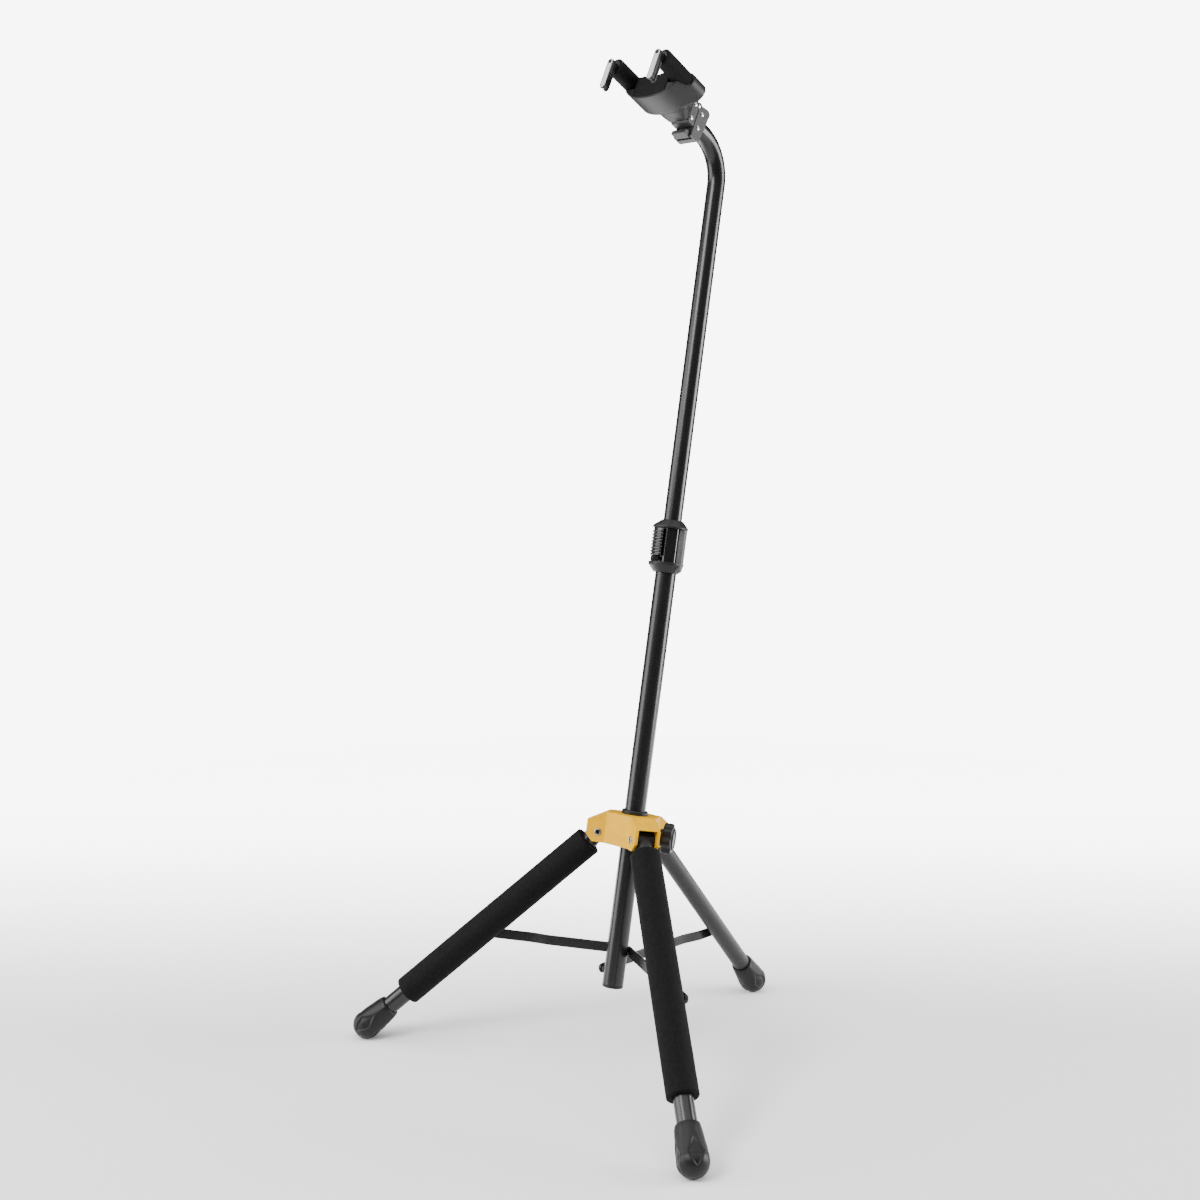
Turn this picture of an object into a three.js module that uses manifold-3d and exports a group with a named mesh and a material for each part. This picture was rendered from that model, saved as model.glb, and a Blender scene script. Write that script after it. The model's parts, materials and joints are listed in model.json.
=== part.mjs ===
// A folding tripod guitar stand with a telescoping mast and a self-closing neck yoke.
// Millimetres, +Z up. The yoke faces -Y, and +X is to the right for someone who stands in front of it.
// The origin is on the floor, in the middle of the footprint of the three feet.
import * as THREE from 'three';
import { mergeVertices } from 'three/addons/utils/BufferGeometryUtils.js';
import { ConvexGeometry } from 'three/addons/geometries/ConvexGeometry.js';
import Module from 'manifold-3d';

const wasm = await Module();
wasm.setup();

// ---------------------------------------------------------------- driving dimensions
const GAP = 0.3; // clearance between pieces that touch
const ROUND = 20; // sides of a plain round piece

// Mast. Distances with S_ are measured up the mast axis from the floor.
const MAST_TILT = THREE.MathUtils.degToRad(11); // the mast leans back by this much
const MAST_RADIUS = 12.7; // 1 inch tube
const MAST_WALL = 1.2;
const UPPER_RADIUS = 11.1; // 7/8 inch tube
const UPPER_WALL = 1.3;
const S_MAST_BOTTOM = 90;
const S_MAST_TOP = 604;
const S_UPPER_BOTTOM = 524;
const S_BEND = 1065.5; // where the upper tube starts to bend forward
const BEND_RADIUS = 54;
const BEND_ANGLE = THREE.MathUtils.degToRad(75);
const NECK_END = 16; // straight end of the upper tube after its bend

// Hub and legs
const S_HUB = 270.3; // height of the leg pivots
const PIVOT_RADIUS = 39.4; // leg pivots from the mast axis
const CHEEK_INNER = 11.7;
const CHEEK_OUTER = 15.5;
const LEG_RADIUS = 11.1;
const LEG_WALL = 1.2;
const FOOT_RADIUS = 18;
const FOOT_FLAT = 1; // how much of the ball the floor takes off, which leaves a flat sole
const FOAM_RADIUS = 18;
const STRAP_HEIGHT = 12;
const STRAP_THICK = 2.5;
const LEGS = [
  { name: 'left', turn: -60, splay: 42.75, foam: true, side: -1 },
  { name: 'right', turn: 60, splay: 42.75, foam: true, side: 1 },
  { name: 'rear', turn: 180, splay: 51.7, foam: false, side: 1 },
];
// Spreader straps: pinHeight is up the mast axis, pinDown is down the leg from its pivot.
const FRONT_STRAP = { pinHeight: 131, pinDown: 203, atMast: 15, atLeg: 19.8, joggle: [85, 115] };
const REAR_STRAP = { pinHeight: 105.5, pinDown: 211, atMast: 19, atLeg: 13.9, joggle: [150, 185] };

const LOCK_TURN = THREE.MathUtils.degToRad(120); // the lock knob faces between the right and rear legs

// Clutch between the two mast tubes
const S_CLUTCH_BOTTOM = 590;
const S_CLUTCH_TOP = 654;
const CLUTCH_RADIUS = 21.4;
const CLUTCH_TURN = THREE.MathUtils.degToRad(-45); // which way the squeeze lever faces

// Yoke. In its own frame -Y runs forward along the arms from the end of the bend, and Z is square to them.
const ARM_SPACING = 71;
const ARM_LIFT = 7; // arms above the axis of the tube end
const FINGER_PIVOT = 138; // forward distance of the fingers
const ARM_FOAM_RADIUS = 10.8;
const CORE_RADIUS = 7;
const SHAFT_RADIUS = 2.6;
const SOCKET_RADIUS = 12.1;
const SOCKET_BACK = 61;
const SOCKET_FRONT = 84;
const RIM = 102; // forward distance of the cradle's front rim
const SPLIT = 29; // forward distance of the split between the two hinge blocks
const BLOCK_HALF = 13.5;
const FOLD_PIN_LIFT = 15.5;

// ---------------------------------------------------------------- materials
function paint(color, roughness, metalness) {
  return new THREE.MeshStandardMaterial({ color, roughness, metalness });
}
const blackPaint = paint(0x141416, 0.3, 0.6);
const legPaint = paint(0x1b1b1d, 0.42, 0.5);
const yellowCasting = paint(0xeebe50, 0.45, 0.1);
const darkPlastic = paint(0x39393b, 0.5, 0);
const greyPlastic = paint(0x5d5e60, 0.45, 0);
const glossPlastic = paint(0x111113, 0.15, 0);
const lightPlastic = paint(0xc9c9c9, 0.4, 0);
const footRubber = paint(0x444446, 0.8, 0);
const padRubber = paint(0x1c1c1c, 0.85, 0);
const foamBlack = paint(0x101010, 0.95, 0);
const zincSteel = paint(0xd9dadc, 0.3, 0.9);

// ---------------------------------------------------------------- solid helpers
// Returns a closed indexed geometry of positions only, with its faces pointing out.
function outward(geometry) {
  geometry.deleteAttribute('normal');
  geometry.deleteAttribute('uv');
  const merged = mergeVertices(geometry, 1e-4);
  const p = merged.attributes.position;
  const kept = [];
  let volume = 0;
  const a = new THREE.Vector3();
  const b = new THREE.Vector3();
  const c = new THREE.Vector3();
  for (let i = 0; i < merged.index.count; i += 3) {
    const [i0, i1, i2] = [merged.index.getX(i), merged.index.getX(i + 1), merged.index.getX(i + 2)];
    if (i0 === i1 || i1 === i2 || i2 === i0) continue;
    kept.push(i0, i1, i2);
    b.fromBufferAttribute(p, i1).cross(c.fromBufferAttribute(p, i2));
    volume += a.fromBufferAttribute(p, i0).dot(b);
  }
  if (volume < 0) kept.reverse();
  merged.setIndex(kept);
  return merged;
}

function toSolid(geometry) {
  const g = outward(geometry);
  return new wasm.Manifold(new wasm.Mesh({
    numProp: 3,
    vertProperties: new Float32Array(g.attributes.position.array),
    triVerts: new Uint32Array(g.index.array),
  }));
}

function fromSolid(solid) {
  const mesh = solid.getMesh();
  const g = new THREE.BufferGeometry();
  g.setAttribute('position', new THREE.BufferAttribute(new Float32Array(mesh.vertProperties), 3));
  g.setIndex(new THREE.BufferAttribute(new Uint32Array(mesh.triVerts), 1));
  return g;
}

const join = (...parts) => fromSolid(parts.map(toSolid).reduce((whole, part) => whole.add(part)));
function cut(body, ...tools) {
  return fromSolid(tools.map(toSolid).reduce((rest, tool) => rest.subtract(tool), toSolid(body)));
}
const common = (body, other) => fromSolid(toSolid(body).intersect(toSolid(other)));

// A round bar along Z.
function bar(radius, z0, z1, sides = ROUND) {
  const g = new THREE.CylinderGeometry(radius, radius, z1 - z0, sides);
  return g.rotateX(Math.PI / 2).translate(0, 0, (z0 + z1) / 2);
}

// A round bar along X, with its axis at y, z.
function crossBar(radius, x0, x1, y, z, sides = 16) {
  return bar(radius, x0, x1, sides).rotateY(Math.PI / 2).translate(0, y, z);
}

// A round bar along -Y, from forward distance v0 to v1, with its axis at x, z.
function forwardBar(radius, v0, v1, x, z, sides = ROUND) {
  return bar(radius, v0, v1, sides).rotateX(Math.PI / 2).translate(x, 0, z);
}

function block(x0, x1, y0, y1, z0, z1) {
  const g = new THREE.BoxGeometry(x1 - x0, y1 - y0, z1 - z0);
  return g.translate((x0 + x1) / 2, (y0 + y1) / 2, (z0 + z1) / 2);
}

// A block in the yoke frame, from forward distance v0 to v1.
const yokeBlock = (halfX, v0, v1, z0, z1) => block(-halfX, halfX, -v1, -v0, z0, z1);

// A body of revolution round Z from [radius, z] points.
function turned(points, sides = ROUND) {
  const profile = points.map(([radius, z]) => new THREE.Vector2(radius, z));
  return new THREE.LatheGeometry(profile, sides).rotateX(Math.PI / 2);
}

// A body of revolution with a bore: its profile closes on itself.
const turnedRing = (points, sides = ROUND) => turned([...points, points[0]], sides);

function pipe(inner, outer, z0, z1, sides = ROUND) {
  return turnedRing([[inner, z0], [outer, z0], [outer, z1], [inner, z1]], sides);
}

const polygon = (points) => new THREE.Shape(points.map(([x, y]) => new THREE.Vector2(x, y)));

// A flat outline in X and Y, extruded from z0 to z1.
function slab(shape, z0, z1, curveSegments = 8) {
  const g = new THREE.ExtrudeGeometry(shape, { depth: z1 - z0, bevelEnabled: false, curveSegments });
  return g.translate(0, 0, z0);
}

// An outline in forward distance and Z, extruded across from x0 to x1.
function acrossSlab(points, x0, x1) {
  return slab(polygon(points), x0, x1).rotateX(Math.PI / 2).rotateZ(-Math.PI / 2);
}

// A long outline with round ends along Y, from y0 to y1.
function roundEnded(halfWidth, y0, y1) {
  const shape = new THREE.Shape();
  shape.absarc(0, y1 - halfWidth, halfWidth, 0, Math.PI, false);
  shape.absarc(0, y0 + halfWidth, halfWidth, Math.PI, 2 * Math.PI, false);
  return shape;
}

// Helical wire spring round Z.
class Helix extends THREE.Curve {
  constructor(radius, z0, z1, turns) {
    super();
    Object.assign(this, { radius, z0, z1, turns });
  }
  getPoint(t, target = new THREE.Vector3()) {
    const angle = 2 * Math.PI * this.turns * t;
    const z = this.z0 + (this.z1 - this.z0) * t;
    return target.set(this.radius * Math.cos(angle), this.radius * Math.sin(angle), z);
  }
}

function spring(radius, wire, z0, z1, turns) {
  const section = new THREE.Shape();
  section.absarc(0, 0, wire, 0, 2 * Math.PI, false);
  const extrudePath = new Helix(radius, z0, z1, turns);
  return new THREE.ExtrudeGeometry(section, { steps: turns * 10, curveSegments: 3, extrudePath });
}

// ---------------------------------------------------------------- scene tree
const model = new THREE.Group();
const mast = new THREE.Group(); // Z runs up the mast axis from the floor
mast.rotation.x = -MAST_TILT;
model.add(mast);

function add(parent, name, geometry, material) {
  const mesh = new THREE.Mesh(outward(geometry), material);
  mesh.name = name;
  parent.add(mesh);
  return mesh;
}

function turnedGroup(parent, turn) {
  const group = new THREE.Group();
  group.rotation.z = turn;
  parent.add(group);
  return group;
}

// ---------------------------------------------------------------- lower mast tube
// Turns a bar along X so that it passes out of the mast towards a spreader's pin.
function spreaderHole(leg, strap) {
  const hole = crossBar(2.6, 0, leg.side * 30, 0, strap.pinHeight, 12);
  return hole.rotateZ(THREE.MathUtils.degToRad(leg.turn));
}

const strapOf = (leg) => (leg.foam ? FRONT_STRAP : REAR_STRAP);

add(mast, 'lower_mast_tube', cut(
  pipe(MAST_RADIUS - MAST_WALL, MAST_RADIUS, S_MAST_BOTTOM, S_MAST_TOP),
  ...LEGS.map((leg) => spreaderHole(leg, strapOf(leg))),
), blackPaint);

add(mast, 'mast_end_plug', turned([
  [0, S_MAST_BOTTOM - 3],
  [MAST_RADIUS - 1, S_MAST_BOTTOM - 3],
  [MAST_RADIUS, S_MAST_BOTTOM - 2],
  [MAST_RADIUS, S_MAST_BOTTOM - GAP],
  [MAST_RADIUS - MAST_WALL - GAP, S_MAST_BOTTOM - GAP],
  [MAST_RADIUS - MAST_WALL - GAP, S_MAST_BOTTOM + 9],
  [0, S_MAST_BOTTOM + 9],
]), darkPlastic);

// ---------------------------------------------------------------- hub with three clevises
const S_HUB_TOP = 296;
const S_HUB_BOTTOM = 258;
const CLEVIS_REACH = 54;
const WALL_START = 31; // where a flat wall leaves the clevis cheek
const MOUTH_BACK = 27.6;
const MOUTH_TOP = 284;
const BUSH_RADIUS = 14.3;

// A point at radius r and sideways distance w from the leg that stands at an angle of turn degrees.
function atLeg(turn, r, w) {
  const a = THREE.MathUtils.degToRad(turn);
  return [r * Math.sin(a) + w * Math.cos(a), -r * Math.cos(a) + w * Math.sin(a)];
}

function hubCasting() {
  const turns = LEGS.map((leg) => leg.turn);
  const outline = turns.flatMap((turn) => [
    atLeg(turn, WALL_START, -CHEEK_OUTER),
    atLeg(turn, CLEVIS_REACH, -CHEEK_OUTER),
    atLeg(turn, CLEVIS_REACH, CHEEK_OUTER),
    atLeg(turn, WALL_START, CHEEK_OUTER),
  ]);
  const roofCut = [[33, S_HUB_TOP], [33, S_HUB_TOP + 5], [62, S_HUB_TOP + 5], [62, 280]];
  const noseCut = [[45, S_HUB_BOTTOM - 1], [62, S_HUB_BOTTOM - 1], [62, 275]];
  const perLeg = (makeTool) => turns.map((turn) => makeTool().rotateZ(THREE.MathUtils.degToRad(turn)));
  const boss = forwardBar(9.5, 20, 33, 0, 273).rotateZ(LOCK_TURN);
  return cut(
    join(slab(polygon(outline), S_HUB_BOTTOM, S_HUB_TOP), boss),
    bar(BUSH_RADIUS + GAP, 200, 320),
    ...perLeg(() => block(-CHEEK_INNER, CHEEK_INNER, -70, -MOUTH_BACK, 240, MOUTH_TOP)),
    ...perLeg(() => acrossSlab(roofCut, -25, 25)),
    ...perLeg(() => acrossSlab(noseCut, -25, 25)),
    ...perLeg(() => crossBar(3 + GAP, -25, 25, -PIVOT_RADIUS, S_HUB)),
    forwardBar(4 + GAP, 10, 40, 0, 273, 16).rotateZ(LOCK_TURN),
  );
}

add(mast, 'hub_casting', hubCasting(), yellowCasting);

add(mast, 'hub_bushing', cut(
  turnedRing([
    [MAST_RADIUS + GAP, 262],
    [BUSH_RADIUS, 262],
    [BUSH_RADIUS, S_HUB_TOP + GAP],
    [16, S_HUB_TOP + GAP],
    [16, S_HUB_TOP + 4],
    [15, S_HUB_TOP + 5],
    [MAST_RADIUS + GAP, S_HUB_TOP + 5],
  ]),
  forwardBar(4 + GAP, 5, 40, 0, 273, 16).rotateZ(LOCK_TURN),
), greyPlastic);

// ---------------------------------------------------------------- hub lock
function lobedOutline(radius, depth, lobes) {
  const points = [];
  for (let i = 0; i < lobes * 8; i += 1) {
    const angle = (2 * Math.PI * i) / (lobes * 8);
    const r = radius + depth * Math.cos(lobes * angle);
    points.push([r * Math.cos(angle), r * Math.sin(angle)]);
  }
  return polygon(points);
}

const lock = turnedGroup(mast, LOCK_TURN);
const lockAxis = new THREE.Group(); // Z runs outward along the screw
lockAxis.position.z = 273;
lockAxis.rotation.x = Math.PI / 2;
lock.add(lockAxis);
add(lockAxis, 'lock_knob', cut(
  join(slab(lobedOutline(17.3, 1.5, 7), 38, 50), bar(10.5, 34, 39), bar(13, 49.5, 52)),
  bar(4 + GAP, 30, 46, 16),
), darkPlastic);
add(lockAxis, 'lock_screw', bar(4, MAST_RADIUS + GAP + 0.3, 45, 16), zincSteel);

// ---------------------------------------------------------------- legs
// Length of a leg from its pivot to the centre of its foot, which stands on the floor.
function legLength(leg) {
  const turn = THREE.MathUtils.degToRad(leg.turn);
  const splay = THREE.MathUtils.degToRad(leg.splay);
  const pivotHeight = PIVOT_RADIUS * Math.cos(turn) * Math.sin(MAST_TILT) + S_HUB * Math.cos(MAST_TILT);
  const outward = Math.cos(turn) * Math.sin(splay) * Math.sin(MAST_TILT);
  const drop = Math.cos(splay) * Math.cos(MAST_TILT) - outward;
  return (pivotHeight - FOOT_RADIUS + FOOT_FLAT) / drop;
}

// The foot's ball centre in Y, before the model is centred on its footprint.
function footCentreY(leg) {
  const turn = THREE.MathUtils.degToRad(leg.turn);
  const splay = THREE.MathUtils.degToRad(leg.splay);
  const length = legLength(leg);
  const radial = PIVOT_RADIUS + length * Math.sin(splay);
  const along = S_HUB - length * Math.cos(splay);
  return -Math.cos(turn) * radial * Math.cos(MAST_TILT) + along * Math.sin(MAST_TILT);
}

// A rubber cap: a sleeve on the tube that widens into a ball, round Z with the leg above it.
function footCap(length) {
  const ball = [];
  for (let i = 0; i <= 6; i += 1) {
    const angle = (i / 6) * THREE.MathUtils.degToRad(105);
    ball.push([FOOT_RADIUS * Math.sin(angle), -length - FOOT_RADIUS * Math.cos(angle)]);
  }
  return turned([
    ...ball,
    [16.2, -length + 14],
    [14.2, -length + 27],
    [13.9, -length + 38],
    [LEG_RADIUS + GAP, -length + 38],
    [LEG_RADIUS + GAP, -length + 8],
    [0, -length + 8],
  ]);
}

// Takes off what would reach under the floor, for a geometry that is placed by a group.
function trimAtFloor(geometry, group) {
  group.updateWorldMatrix(true, false);
  const placed = geometry.applyMatrix4(group.matrixWorld);
  const trimmed = cut(placed, block(-900, 900, -900, 900, -60, 0));
  return trimmed.applyMatrix4(group.matrixWorld.clone().invert());
}

// The tongue that turns in the clevis, with a spigot in the tube.
function legTongue() {
  const eye = crossBar(10.6, -CHEEK_INNER + 0.5, CHEEK_INNER - 0.5, 0, 0, ROUND);
  const spigot = bar(LEG_RADIUS - LEG_WALL - GAP, -42, -5);
  const shoulder = common(bar(LEG_RADIUS, -14, 0), block(-20, 20, -10.6, 10.6, -14, 0));
  return cut(join(eye, shoulder, spigot), crossBar(3 + GAP, -20, 20, 0, 0));
}

function addLeg(leg) {
  const length = legLength(leg);
  const strap = strapOf(leg);
  const station = turnedGroup(mast, THREE.MathUtils.degToRad(leg.turn));
  const pivot = new THREE.Group();
  pivot.position.set(0, -PIVOT_RADIUS, S_HUB);
  pivot.rotation.x = -THREE.MathUtils.degToRad(leg.splay);
  station.add(pivot);

  const bossEnd = leg.side * (strap.atLeg - STRAP_THICK / 2 - GAP);
  const tube = pipe(LEG_RADIUS - LEG_WALL, LEG_RADIUS, -length + 9, -14.3);
  const boss = crossBar(5, leg.side * (LEG_RADIUS - 1), bossEnd, 0, -strap.pinDown, 16);
  const collar = bar(LEG_RADIUS - LEG_WALL / 2, -strap.pinDown - 8, -strap.pinDown + 8);
  add(pivot, `leg_tube_${leg.name}`, join(tube, cut(boss, collar)), leg.foam ? blackPaint : legPaint);
  add(pivot, `leg_tongue_${leg.name}`, legTongue(), darkPlastic);
  add(pivot, `foot_${leg.name}`, trimAtFloor(footCap(length), pivot), footRubber);
  if (leg.foam) {
    const sleeve = pipe(LEG_RADIUS + GAP, FOAM_RADIUS, -317, -19);
    const bossHole = crossBar(5 + GAP, 0, leg.side * 30, 0, -strap.pinDown, 16);
    add(pivot, `leg_foam_${leg.name}`, cut(sleeve, bossHole), foamBlack);
  }

  const pin = join(
    crossBar(3, -CHEEK_OUTER - 0.5, CHEEK_OUTER + 0.5, 0, 0),
    crossBar(4.4, CHEEK_OUTER + GAP, CHEEK_OUTER + 1.5, 0, 0),
    crossBar(4.4, -CHEEK_OUTER - 1.5, -CHEEK_OUTER - GAP, 0, 0),
  );
  const pinMesh = add(station, `leg_pin_${leg.name}`, pin, zincSteel);
  pinMesh.position.set(0, -PIVOT_RADIUS, S_HUB);
  addStrap(leg, strap, station);
}

// ---------------------------------------------------------------- spreader straps
// The strap's length and its angle, so that it meets its pin on the opened leg.
function strapReach(leg, strap) {
  const splay = THREE.MathUtils.degToRad(leg.splay);
  const out = PIVOT_RADIUS + strap.pinDown * Math.sin(splay);
  const up = S_HUB - strap.pinDown * Math.cos(splay) - strap.pinHeight;
  return { length: Math.hypot(out, up), angle: Math.atan2(up, out) };
}

// A flat bar on edge, with a joggle that takes it from the mast's side to the leg's side.
function strapBar(strap, length) {
  const half = STRAP_THICK / 2;
  const [j0, j1] = strap.joggle;
  const edge = (offset) => [
    [strap.atMast + offset, STRAP_HEIGHT / 2],
    [strap.atMast + offset, -j0],
    [strap.atLeg + offset, -j1],
    [strap.atLeg + offset, -length - STRAP_HEIGHT / 2],
  ];
  const plan = slab(polygon([...edge(half), ...edge(-half).reverse()]), -STRAP_HEIGHT, STRAP_HEIGHT);
  const outline = roundEnded(STRAP_HEIGHT / 2, -length - STRAP_HEIGHT / 2, STRAP_HEIGHT / 2);
  const side = slab(outline, 0, 40).rotateY(Math.PI / 2);
  return cut(
    common(plan, side),
    crossBar(2.6 + GAP, 0, 40, 0, 0, 12),
    crossBar(2.6 + GAP, 0, 40, -length, 0, 12),
  );
}

function addStrap(leg, strap, station) {
  const { length, angle } = strapReach(leg, strap);
  const hinge = new THREE.Group();
  hinge.position.z = strap.pinHeight;
  hinge.rotation.x = -angle;
  station.add(hinge);
  const mirrored = (geometry) => (leg.side > 0 ? geometry : geometry.scale(-1, 1, 1));
  const outer = (offset) => offset + STRAP_THICK / 2;
  add(hinge, `spreader_${leg.name}`, mirrored(strapBar(strap, length)), blackPaint);
  const mastRivet = join(
    crossBar(2.3, MAST_RADIUS - MAST_WALL - 1, outer(strap.atMast) + 1, 0, 0, 12),
    crossBar(4.6, MAST_RADIUS + 0.5, strap.atMast - STRAP_THICK / 2 - GAP, 0, 0, 12),
    crossBar(5, outer(strap.atMast) + GAP, outer(strap.atMast) + 3, 0, 0, 12),
  );
  add(hinge, `spreader_mast_rivet_${leg.name}`, mirrored(mastRivet), blackPaint);
  const legRivet = join(
    crossBar(2.3, strap.atLeg - STRAP_THICK / 2, outer(strap.atLeg) + 1, -length, 0, 12),
    crossBar(5, outer(strap.atLeg) + GAP, outer(strap.atLeg) + 3.2, -length, 0, 12),
  );
  add(hinge, `spreader_leg_rivet_${leg.name}`, mirrored(legRivet), blackPaint);
}

LEGS.forEach(addLeg);

// ---------------------------------------------------------------- clutch
const clutch = turnedGroup(mast, CLUTCH_TURN); // its lever faces -Y
const LEVER_BOTTOM = 603;
const LEVER_TOP = 640.5;
const LEVER_PIN = { y: -18.2, z: 606.5 };

function clutchHousing() {
  const body = turnedRing([
    [MAST_RADIUS + GAP, S_CLUTCH_BOTTOM],
    [15.4, S_CLUTCH_BOTTOM],
    [CLUTCH_RADIUS, S_CLUTCH_BOTTOM + 9],
    [CLUTCH_RADIUS, S_CLUTCH_BOTTOM + 12],
    [17, S_CLUTCH_BOTTOM + 12.5],
    [17, 641],
    [13.4, 641],
    [13.4, S_MAST_TOP + 1],
    [MAST_RADIUS + GAP, S_MAST_TOP + 1],
  ], 24);
  const spine = common(block(-15.3, 15.3, 9, 18.6, 592, 641), pipe(13.9, CLUTCH_RADIUS, 592, 641, 24));
  const ears = join(block(10.6, 13.6, -19.4, -12.5, 600, 609), block(-13.6, -10.6, -19.4, -12.5, 600, 609));
  const leverRoom = common(pipe(15.1, 30, LEVER_BOTTOM, 645, 24), block(-30, 30, -30, -5.5, 600, 645));
  const window = block(-5, 5, -20, -10, 622, 636);
  const pinHole = crossBar(1.5 + GAP, -13, 13, LEVER_PIN.y, LEVER_PIN.z, 12);
  const shell = cut(join(body, spine), leverRoom);
  const roundedEars = common(ears, pipe(15.4, 23, 600, 609, 24));
  return cut(join(shell, roundedEars), window, pinHole);
}

// A curved grip with ribs across it.
function clutchLever() {
  const ribs = [];
  for (let i = 0; i < 7; i += 1) {
    const z = 612 + 3.9 * i;
    ribs.push([19.8, z - 1.4], [21.3, z - 0.6], [21.3, z + 0.6], [19.8, z + 1.4]);
  }
  const shell = turnedRing([
    [17.4, LEVER_BOTTOM + 0.6],
    [19.8, LEVER_BOTTOM + 0.6],
    ...ribs,
    [19.8, LEVER_TOP],
    [17.4, LEVER_TOP],
  ], 24);
  const sector = common(shell, block(-17.7, 17.7, -30, -8.6, 600, 645));
  const barrel = common(block(-10.2, 10.2, -20, -16, 604, 610), pipe(15.4, 20.4, 600, 645, 24));
  const earRoom = (x0, x1) => block(x0, x1, -30, 0, 590, 609.6);
  const nose = block(-4, 4, -18.2, -14.8, 624, 632);
  return cut(
    join(cut(sector, earRoom(10.3, 20), earRoom(-20, -10.3)), barrel, nose),
    crossBar(1.5 + GAP, -20, 20, LEVER_PIN.y, LEVER_PIN.z, 12),
  );
}

add(clutch, 'clutch_housing', clutchHousing(), glossPlastic);
add(clutch, 'clutch_lever', clutchLever(), greyPlastic);
add(clutch, 'clutch_lever_pin', crossBar(1.5, -12.7, 12.7, LEVER_PIN.y, LEVER_PIN.z, 12), zincSteel);
add(clutch, 'clutch_collar', turnedRing([
  [UPPER_RADIUS + GAP, 641.3],
  [CLUTCH_RADIUS + 0.2, 641.3],
  [CLUTCH_RADIUS + 0.2, 645],
  [20.4, 647.2],
  [13, S_CLUTCH_TOP],
  [UPPER_RADIUS + GAP, S_CLUTCH_TOP],
], 24), darkPlastic);
add(clutch, 'clutch_wedge_ring', turnedRing([
  [UPPER_RADIUS + GAP, 621],
  [13, 621],
  [13, 638],
  [12.2, 640],
  [UPPER_RADIUS + GAP, 640],
]), zincSteel);
add(clutch, 'clutch_spring', spring(12.25, 0.45, 606, 620, 4), zincSteel);

// ---------------------------------------------------------------- upper mast tube
// Straight run, bend and straight end. Equal steps of the parameter are the stations of the tube, so
// the straight run takes one step.
const BEND_STEPS = 10;
class UpperTubeLine extends THREE.Curve {
  getPoint(t, target = new THREE.Vector3()) {
    const step = t * (BEND_STEPS + 2);
    if (step < 1) {
      return target.set(0, 0, S_UPPER_BOTTOM + (S_BEND - S_UPPER_BOTTOM) * step);
    }
    const angle = Math.min((step - 1) / BEND_STEPS, 1) * BEND_ANGLE;
    const tail = Math.max(step - 1 - BEND_STEPS, 0) * NECK_END;
    return target.set(
      0,
      -BEND_RADIUS * (1 - Math.cos(angle)) - tail * Math.sin(BEND_ANGLE),
      S_BEND + BEND_RADIUS * Math.sin(angle) + tail * Math.cos(BEND_ANGLE),
    );
  }
  getUtoTmapping(u) {
    return u;
  }
}

function upperTube() {
  const section = new THREE.Shape();
  section.absarc(0, 0, UPPER_RADIUS, 0, 2 * Math.PI, false);
  const bore = new THREE.Path();
  bore.absarc(0, 0, UPPER_RADIUS - UPPER_WALL, 0, 2 * Math.PI, true);
  section.holes.push(bore);
  const extrudePath = new UpperTubeLine();
  const settings = { steps: BEND_STEPS + 2, curveSegments: ROUND / 2, extrudePath };
  return new THREE.ExtrudeGeometry(section, settings);
}

add(mast, 'upper_mast_tube', upperTube(), blackPaint);
add(mast, 'mast_guide_bush', turned([
  [0, S_UPPER_BOTTOM - 7],
  [10.2, S_UPPER_BOTTOM - 7],
  [MAST_RADIUS - MAST_WALL - 0.2, S_UPPER_BOTTOM - 6],
  [MAST_RADIUS - MAST_WALL - 0.2, S_UPPER_BOTTOM - GAP],
  [UPPER_RADIUS - UPPER_WALL - GAP, S_UPPER_BOTTOM - GAP],
  [UPPER_RADIUS - UPPER_WALL - GAP, S_UPPER_BOTTOM + 14],
  [0, S_UPPER_BOTTOM + 14],
]), darkPlastic);

// ---------------------------------------------------------------- hinge of the folding yoke
const yoke = new THREE.Group();
yoke.position.y = -BEND_RADIUS * (1 - Math.cos(BEND_ANGLE));
yoke.position.z = S_BEND + BEND_RADIUS * Math.sin(BEND_ANGLE);
yoke.rotation.x = -(Math.PI / 2 - BEND_ANGLE);
mast.add(yoke);

const KNUCKLE = 4.6;
const PIN_RADIUS = 2.2;
const LOWER_SCREWS = { v: 21, z: [9.5, -9] };
const UPPER_SCREWS = { v: 36.5, z: [13, -5] };

const foldBar = (radius, x0, x1) => crossBar(radius, x0, x1, -SPLIT, FOLD_PIN_LIFT, 20);

function screwHoles(set) {
  return set.z.map((z) => crossBar(1.9 + GAP, -BLOCK_HALF - 5, BLOCK_HALF + 5, -set.v, z, 12));
}

function lowerHingeBlock() {
  const side = [
    [12, -21], [15, -24], [SPLIT - GAP, -24], [SPLIT - GAP, FOLD_PIN_LIFT - 2],
    [SPLIT - GAP - 4, FOLD_PIN_LIFT + 3], [12, FOLD_PIN_LIFT + 5], [8, FOLD_PIN_LIFT + 1.5],
  ];
  const middle = KNUCKLE + 1 + GAP;
  return cut(
    join(
      acrossSlab(side, -BLOCK_HALF, BLOCK_HALF),
      foldBar(KNUCKLE, middle, BLOCK_HALF),
      foldBar(KNUCKLE, -BLOCK_HALF, -middle),
    ),
    foldBar(KNUCKLE + GAP, -middle, middle),
    foldBar(PIN_RADIUS + GAP, -20, 20),
    forwardBar(UPPER_RADIUS + GAP, 0, NECK_END + 0.6, 0, 0),
    yokeBlock(10.8, 22, 40, -40, -9.5),
    ...screwHoles(LOWER_SCREWS),
  );
}

const RAIL = { half: 7, front: 54, bottom: -6, top: 4 };

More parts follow.
